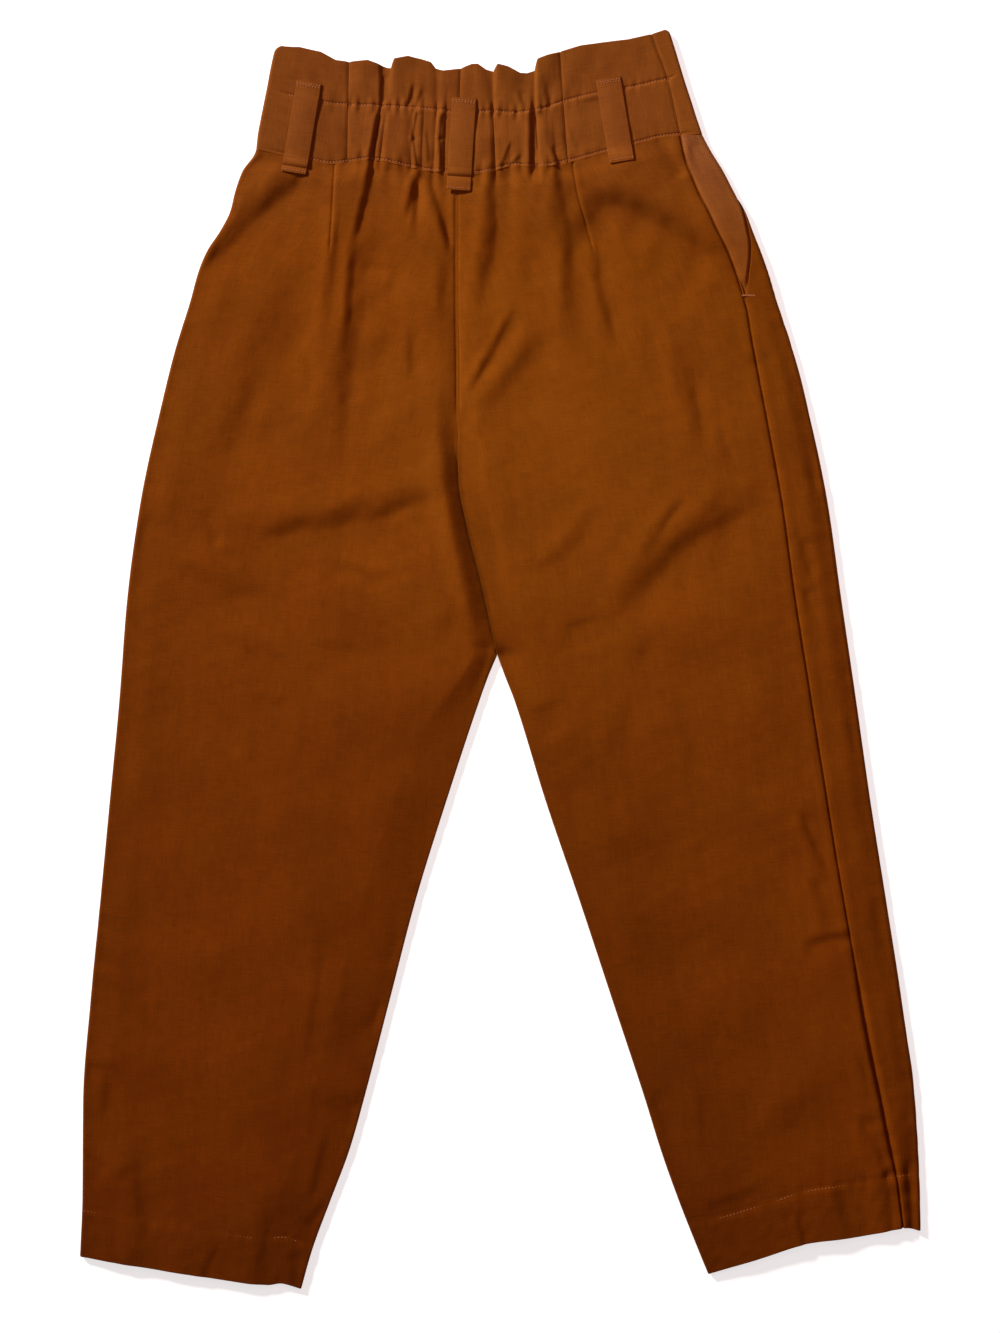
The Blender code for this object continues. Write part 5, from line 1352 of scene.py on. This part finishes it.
# %% Front of the band
# it comes over the right end and goes on along the floor
right_levels = end_level(RIGHT_WAIST[0], RUFFLE_RIGHT, CLIMBS)
edge_x = rounded_corner(band_right_edge(right_levels), right_levels, -1.0, RIGHT_CORNER)
side = band_detail(gather_line(GATHERS[SEAM_SIDE], CLIMBS)[:, None], CLIMBS[:, None])
rolled = band_roll(edge_x, right_levels, -1.0, np.linspace(QUARTER, -QUARTER, 12))
between = bridge(side[:, 0], rolled[:, 0], 12)
first_x = edge_x - BAND_WALL / 2 - 5.0 * BAND_ROLL
last_x = left_x + BAND_UNDER + SEAM_GAP
x = mix(first_x[:, None], last_x[:, None], np.linspace(0.0, 1.0, FRONT_COLUMNS))
share = BAND_SPLIT * np.minimum(CLIMBS, 1.0) + (1.0 - BAND_SPLIT) * np.maximum(CLIMBS - 1.0, 0.0)
y = mix(waist_line(x), front_top_level(x), share[:, None])
from_stitches = np.minimum(np.abs(CLIMBS - 1.0), np.abs(CLIMBS - 0.03))[:, None] * 45.0
pull = 0.5 + 0.5 * ripple(x, 0.1 * y, 9.0, 41)
z = BAND_WALL / 2 + 0.35 * pull * bell(from_stitches, 12.0)
on_floor = np.stack((x, y, z), axis=-1)
band_piece("band_front", np.concatenate((side, between, rolled, on_floor), axis=1),
           seam_last=False)

# %% [markdown]
# ## Belt loops
# A belt loop is a narrow strip folded in four, tacked at both ends so that a belt passes under
# it.  Its cross-section never changes, so a Geometry Nodes tree sweeps a rounded flat profile
# along the strap's path.

# %% Heights under a belt loop
# name, top centre x and y, bottom centre x and y, width, distance of the crease above the end
LOOPS = (
    ("left", -152.2, 461.4, -164.4, 388.4, 20.0, 4.8),
    ("centre", -28.2, 448.6, -32.8, 374.6, 19.4, 11.0),
    ("right", 86.8, 464.4, 97.8, 397.6, 20.0, 0.0),
)
LOOP_TACK = 6.0          # part of a loop's top that is sewn down
LOOP_EASE = 9.0
LOOP_REACH = 3           # places on each side over which a strap bridges the folds under it
LOOP_RUFFLE = 36.0       # depth of the ruffle at the loops


def surface_height(x, y):
    """Top of the cloth under a strap, at single points."""
    if y >= seam_level(x):
        climb = (y - seam_level(x)) / (stitch_level(x) - seam_level(x))
        if climb > 1.0:
            climb = 1.0 + (y - stitch_level(x)) / LOOP_RUFFLE
        lines = gather_line(GATHERS, climb)
        z = np.interp(x, lines[:, 0], lines[:, 2])
        return float(band_detail(np.array((x, y, z)), climb)[2]) + BAND_WALL / 2
    leg = LEFT if x < centre_back(y) else RIGHT
    row = 1.0 - (seam_level(x) - y) / (seam_level(x) - CROTCH)
    inset = abs(leg.ends("back", row)[1][0] - x)
    return float(leg.upper_height(row, x, y, inset)) + WALL / 2


def loop_path(top, bottom, width, crease):
    """Points down the middle of a strap, in millimetres."""
    top, bottom = np.array(top), np.array(bottom)
    length = np.linalg.norm(bottom - top)
    along = (bottom - top) / length
    across = np.array((-along[1], along[0]))
    places = np.linspace(0.0, length, 60)
    middle = top + along * places[:, None]
    under = np.array([max(surface_height(*(centre + across * width * share))
                          for share in (-0.5, -0.25, 0.0, 0.25, 0.5)) for centre in middle])
    smooth = [under[max(i - LOOP_REACH, 0):i + LOOP_REACH + 1].max() for i in range(len(under))]
    smooth = np.convolve(np.pad(smooth, 2, mode="edge"), np.full(5, 0.2), mode="valid")
    free = ease((places - LOOP_TACK) / LOOP_EASE)
    free *= ease((length - crease - 2.0 - places) / LOOP_EASE)
    height = smooth + STRAP_WALL / 2 + 0.1 + 0.25 * free
    if crease:
        height -= 1.3 * bell(places - length + crease, 1.3)
        height += 0.8 * bell(places - length + crease + 3.6, 2.4)
    return np.concatenate((middle, height[:, None]), axis=1), along, across

# %% Tree helpers
def new_tree(name, sizes):
    """Geometry Nodes tree with a geometry input, named sizes and a geometry output."""
    tree = bpy.data.node_groups.new(name, "GeometryNodeTree")
    face = tree.interface
    face.new_socket("Geometry", in_out="INPUT", socket_type="NodeSocketGeometry")
    for title, (kind, value) in sizes.items():
        face.new_socket(title, in_out="INPUT", socket_type=kind).default_value = value
    face.new_socket("Geometry", in_out="OUTPUT", socket_type="NodeSocketGeometry")
    recipe = Recipe(tree)
    inlet = tree.nodes.new("NodeGroupInput")
    flows = {output.name: Flow(recipe, output) for output in inlet.outputs if output.name}
    return recipe, flows


def close_tree(recipe, geometry, material):
    """Realize Instances and Set Material, then the output."""
    real = recipe.node("GeometryNodeRealizeInstances", {}, {0: geometry})
    painted = recipe.node("GeometryNodeSetMaterial", {}, {"Geometry": real, "Material": material})
    recipe.node("NodeGroupOutput", {}, {0: painted})
    return recipe.tree


def run_tree(name, tree, points_list, sizes):
    """Give a tree paths to follow and keep what it makes as a plain mesh."""
    curves = bpy.data.curves.new(name + "_path", "CURVE")
    curves.dimensions = "3D"
    for points in points_list:
        spline = curves.splines.new("POLY")
        spline.points.add(len(points) - 1)
        flat = np.concatenate((to_model(points), np.ones((len(points), 1))), axis=1)
        spline.points.foreach_set("co", flat.ravel())
    carrier = add_object(name + "_carrier", curves)
    modifier = carrier.modifiers.new("make", "NODES")
    modifier.node_group = tree
    for item in tree.interface.items_tree:
        if item.item_type == "SOCKET" and item.in_out == "INPUT" and item.name in sizes:
            modifier[item.identifier] = sizes[item.name]
    graph = bpy.context.evaluated_depsgraph_get()
    mesh = bpy.data.meshes.new_from_object(carrier.evaluated_get(graph))
    carrier.modifiers.clear()
    bpy.data.objects.remove(carrier)
    mesh.name = name
    mesh.shade_smooth()
    return add_object(name, mesh)


# %% Strap tree
FLOAT = "NodeSocketFloat"
recipe, sizes = new_tree("belt strap", {"Width": (FLOAT, 0.02), "Thickness": (FLOAT, 0.0011)})
outline = recipe.node("GeometryNodeCurvePrimitiveQuadrilateral", {},
                      {"Width": sizes["Width"], "Height": sizes["Thickness"]})
rounded = recipe.node("GeometryNodeFilletCurve", {"mode": "POLY"},
                      {"Curve": outline, "Count": 3, "Radius": 0.0005})
upright = recipe.node("GeometryNodeSetCurveNormal", {"mode": "Z_UP"},
                      {"Curve": sizes["Geometry"]})
swept = recipe.node("GeometryNodeCurveToMesh", {}, {"Curve": upright, "Profile Curve": rounded,
                                                   "Fill Caps": True})
strap_tree = close_tree(recipe, swept, loop_cloth)
print("strap tree:", len(strap_tree.nodes), "nodes")

# %% Belt loops
loop_frames = {}
for name, top_x, top_y, bottom_x, bottom_y, width, crease in LOOPS:
    path, along, across = loop_path((top_x, top_y), (bottom_x, bottom_y), width, crease)
    piece = run_tree(f"belt_loop_{name}_cloth", strap_tree, [path],
                     {"Width": width * MM, "Thickness": STRAP_WALL * MM})
    points = np.array([v.co for v in piece.data.vertices]) * 1000 - TABLE_SHIFT
    add_cloth_map(piece.data, (points[:, :2] - path[0, :2]) @ np.stack((across, along)).T * MM)
    piece.data.set_sharp_from_angle(angle=math.radians(60.0))
    shells["belt_loop_" + name] = piece
    loop_frames[name] = (path, along, across, width)
    print(piece.name, len(piece.data.polygons), "faces, mm:",
          [round(c * 1000, 1) for c in piece.dimensions])

# %% [markdown]
# ## Stitches
# The casing and the belt loops are sewn with short stitches of a thread that is lighter than the
# cloth, and the hems with a darker thread.  One small stitch is modelled and a Geometry Nodes tree
# repeats it along each seam, with a small seeded unevenness of its angle.

# %% Thread
thread, recipe, shader = new_material("sewing thread")
grain, ramp = recipe.grained(900.0, (0.48, 0.155, 0.035), (0.64, 0.24, 0.070))
bump = recipe.node("ShaderNodeBump", {}, {"Height": grain, "Strength": 0.5, "Distance": 0.0001})
recipe.join(ramp, shader.inputs["Base Color"])
recipe.join(bump, shader.inputs["Normal"])
shader.inputs["Roughness"].default_value = 0.6
hem_thread = thread.copy()
hem_thread.name = "hem thread"
for element in hem_thread.node_tree.nodes["Color Ramp"].color_ramp.elements:
    element.color = (0.30, 0.078, 0.009, 1.0)
print("threads:", thread.name, "and", hem_thread.name)

# %% Stitch tree
recipe, sizes = new_tree("stitch row", {
    "Pitch": (FLOAT, 0.0026), "Length": (FLOAT, 0.0017), "Thread": (FLOAT, 0.00038),
    "Slant": (FLOAT, 0.25), "Seed": ("NodeSocketInt", 1)})
spaced = recipe.node("GeometryNodeResampleCurve", {"mode": "LENGTH"},
                     {"Curve": sizes["Geometry"], "Length": sizes["Pitch"]})
tangent = recipe.node("GeometryNodeInputTangent")
facing = recipe.node("FunctionNodeAlignRotationToVector", {"axis": "X"}, {"Vector": tangent})
RANDOM_MIN, RANDOM_MAX = 2, 3            # the node's sockets for numbers
wobble = recipe.node("FunctionNodeRandomValue", {"data_type": "FLOAT"},
                     {RANDOM_MIN: -0.10, RANDOM_MAX: 0.10, "Seed": sizes["Seed"]}, out=1)
turn = recipe.node("ShaderNodeCombineXYZ", {}, {"Z": sizes["Slant"] + wobble})
turned = recipe.node("FunctionNodeRotateRotation", {"rotation_space": "LOCAL"},
                     {"Rotation": facing, "Rotate By": turn})
bead = recipe.node("GeometryNodeMeshUVSphere", {}, {"Segments": 6, "Rings": 5, "Radius": 1.0})
half = sizes["Length"] * 0.5
size = recipe.node("ShaderNodeCombineXYZ", {}, (half, sizes["Thread"], sizes["Thread"]))
shaped = recipe.node("GeometryNodeTransform", {}, {"Geometry": bead, "Scale": size})
copies = recipe.node("GeometryNodeInstanceOnPoints", {},
                     {"Points": spaced, "Instance": shaped, "Rotation": turned})
stitch_tree = close_tree(recipe, copies, thread)
print("stitch tree:", len(stitch_tree.nodes), "nodes")

# %% Stitch rows
BAR_TACK = (194.0, 203.6, 290.4)         # from x to x at a level, below the pocket's opening


def band_row(climb):
    """Path on top of the band at one climb, from its left end to the right side seam."""
    rows = gather_rows(np.linspace(0.0, SEAM_SIDE, 14 * SEAM_SIDE))
    grid = band_detail(gather_line(rows, climb), climb)
    grid[:, 2] += BAND_WALL / 2 + 0.02
    return grid


def hem_row(leg):
    """Path on top of a back panel, parallel to its hem."""
    inner, outer = leg.ends("back", -1.0)
    x = np.linspace(outer[0] + leg.inward * 4.0, inner[0] - leg.inward * 4.0, 110)
    low, high = np.full(x.shape, -1.0), np.full(x.shape, -0.8)
    for _ in range(24):
        row = (low + high) / 2
        inner, outer = leg.ends("back", row)
        share = (x - outer[:, 0]) / (inner[:, 0] - outer[:, 0])
        inset = share * leg.width("back", row)
        spot_x, spot_y = leg.plan("back", row, inset)
        below = leg.hem_distance(spot_x, spot_y) < HEM_DEPTHS[leg.side]
        low, high = np.where(below, row, low), np.where(below, high, row)
    height = leg.upper_height(row, spot_x, spot_y, inset) + WALL / 2 - 0.03
    return np.stack((spot_x, spot_y, height), axis=-1)


def loop_rows(path, along, across, width):
    """Two rows across the top of a belt loop and one across its bottom."""
    run = np.linalg.norm(path[:, :2] - path[0, :2], axis=1)
    for place, margin in ((2.0, 1.0), (3.4, 1.5), (run[-1] - 1.8, 1.0)):
        aside = np.linspace(-0.5, 0.5, 12) * (width - 2 * margin)
        height = np.interp(place, run, path[:, 2]) + STRAP_WALL / 2 + 0.02
        spots = path[0, :2] + along * place + across * aside[:, None]
        yield np.concatenate((spots, np.full((12, 1), height)), axis=1)


band_stitches = run_tree("band_stitches", stitch_tree, [band_row(1.0), band_row(0.045)],
                         {"Pitch": 0.0026, "Length": 0.0018, "Slant": 0.6, "Seed": 3})
hem_stitches = run_tree("hem_stitches", stitch_tree, [hem_row(LEFT), hem_row(RIGHT)],
                        {"Pitch": 0.0028, "Length": 0.0018, "Thread": 0.00028, "Slant": 0.05,
                         "Seed": 4})
hem_stitches.data.materials[0] = hem_thread
rows = [row for loop in loop_frames.values() for row in loop_rows(*loop)]
loop_stitches = run_tree("loop_stitches", stitch_tree, rows,
                         {"Pitch": 0.0022, "Length": 0.0017, "Slant": 0.3, "Seed": 5})
tack = [(x, BAR_TACK[2], surface_height(x, BAR_TACK[2]) + 0.05)
        for x in np.linspace(*BAR_TACK[:2], 10)]
bar_tack = run_tree("bar_tack", stitch_tree, [np.array(tack)],
                    {"Pitch": 0.0009, "Length": 0.0020, "Slant": 1.2, "Seed": 6})
sewn = {band_stitches: "band", hem_stitches: "panel", loop_stitches: "loop", bar_tack: "panel"}
print("stitches:", {piece.name: len(piece.data.polygons) for piece in sewn})

# %% [markdown]
# ## Floor, lights and camera
# The garment lies on a plain pale floor.  One soft key light stands low at the upper left, so
# that every fold has a bright and a dark side, and a weak even sky fills the shadows.

# %% Floor
FLOOR_HALF, FLOOR_LEVEL = 40.0, -0.0002  # in metres, far enough for every view
floor_paint, recipe, shader = new_material("floor paint")
grain, ramp = recipe.grained(3.0, (0.86, 0.86, 0.85), (0.88, 0.88, 0.87))
recipe.join(ramp, shader.inputs["Base Color"])
shader.inputs["Roughness"].default_value = 0.9
shader.inputs["Emission Color"].default_value = (1.0, 1.0, 1.0, 1.0)
shader.inputs["Emission Strength"].default_value = 0.70
floor_mesh = bpy.data.meshes.new("floor")
corners = [(x * FLOOR_HALF, y * FLOOR_HALF, FLOOR_LEVEL)
           for x, y in ((-1, -1), (1, -1), (1, 1), (-1, 1))]
floor_mesh.from_pydata(corners, [], [(0, 1, 2, 3)])
floor_mesh.materials.append(floor_paint)
floor = add_object("floor", floor_mesh)

# %% Lights
# name, place and target in metres, size in metres, power in watts, colour
LAMPS = (
    ("key", (-2.67, 2.54, 1.70), (0.05, 0.1, 0.0), 0.50, 185.0, (1.0, 0.99, 0.97)),
    ("fill", (0.12, 0.22, 0.80), (0.1, 0.2, 0.0), 0.4, 1.0, (1.0, 0.62, 0.62)),
)
SKY_COLOUR, SKY_STRENGTH = (1.0, 0.50, 0.55, 1.0), 0.09

for name, place, target, size, power, colour in LAMPS:
    light = bpy.data.lights.new(name, "AREA")
    light.shape, light.size, light.energy, light.color = "DISK", size, power, colour
    lamp = add_object(name, light)
    lamp.location = place
    x, y, z = np.array(target) - np.array(place)
    lamp.rotation_euler = (math.atan2(math.hypot(x, y), -z), 0.0, math.atan2(-x, y))
    lamp.visible_camera = False

world = bpy.data.worlds.new("sky")
world.use_nodes = True
world.node_tree.nodes["Background"].inputs["Color"].default_value = SKY_COLOUR
world.node_tree.nodes["Background"].inputs["Strength"].default_value = SKY_STRENGTH
bpy.context.scene.world = world
print("lamps:", [lamp.name for lamp in bpy.data.lights])

# %% Camera
CAMERA_PLACE = (-0.000287, -0.005594, 1.805)
CAMERA_HEIGHT = 1.8      # above the middle of the cloth, which stands at about 5 mm
FRAME_HEIGHT = 1.0664    # height of the camera's view at that distance
SENSOR = 36.0
camera_data = bpy.data.cameras.new("camera")
camera_data.sensor_fit = "VERTICAL"
camera_data.sensor_height = SENSOR
camera_data.lens = SENSOR * CAMERA_HEIGHT / FRAME_HEIGHT
camera = add_object("camera", camera_data)
camera.location = CAMERA_PLACE
bpy.context.scene.camera = camera
bpy.context.scene.view_settings.view_transform = "Standard"
print("camera lens, mm:", round(camera_data.lens, 2))

# %% [markdown]
# ## Put the pieces in place
# Every shell rides on the model's root and takes the place of one solid of the construction model,
# which is hidden.  The stitch rows ride on the root as well.

# %% Ride and replace
for node, piece in shells.items():
    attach(piece, "root")
    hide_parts(node)
for piece, slot in sewn.items():
    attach(piece, "root")
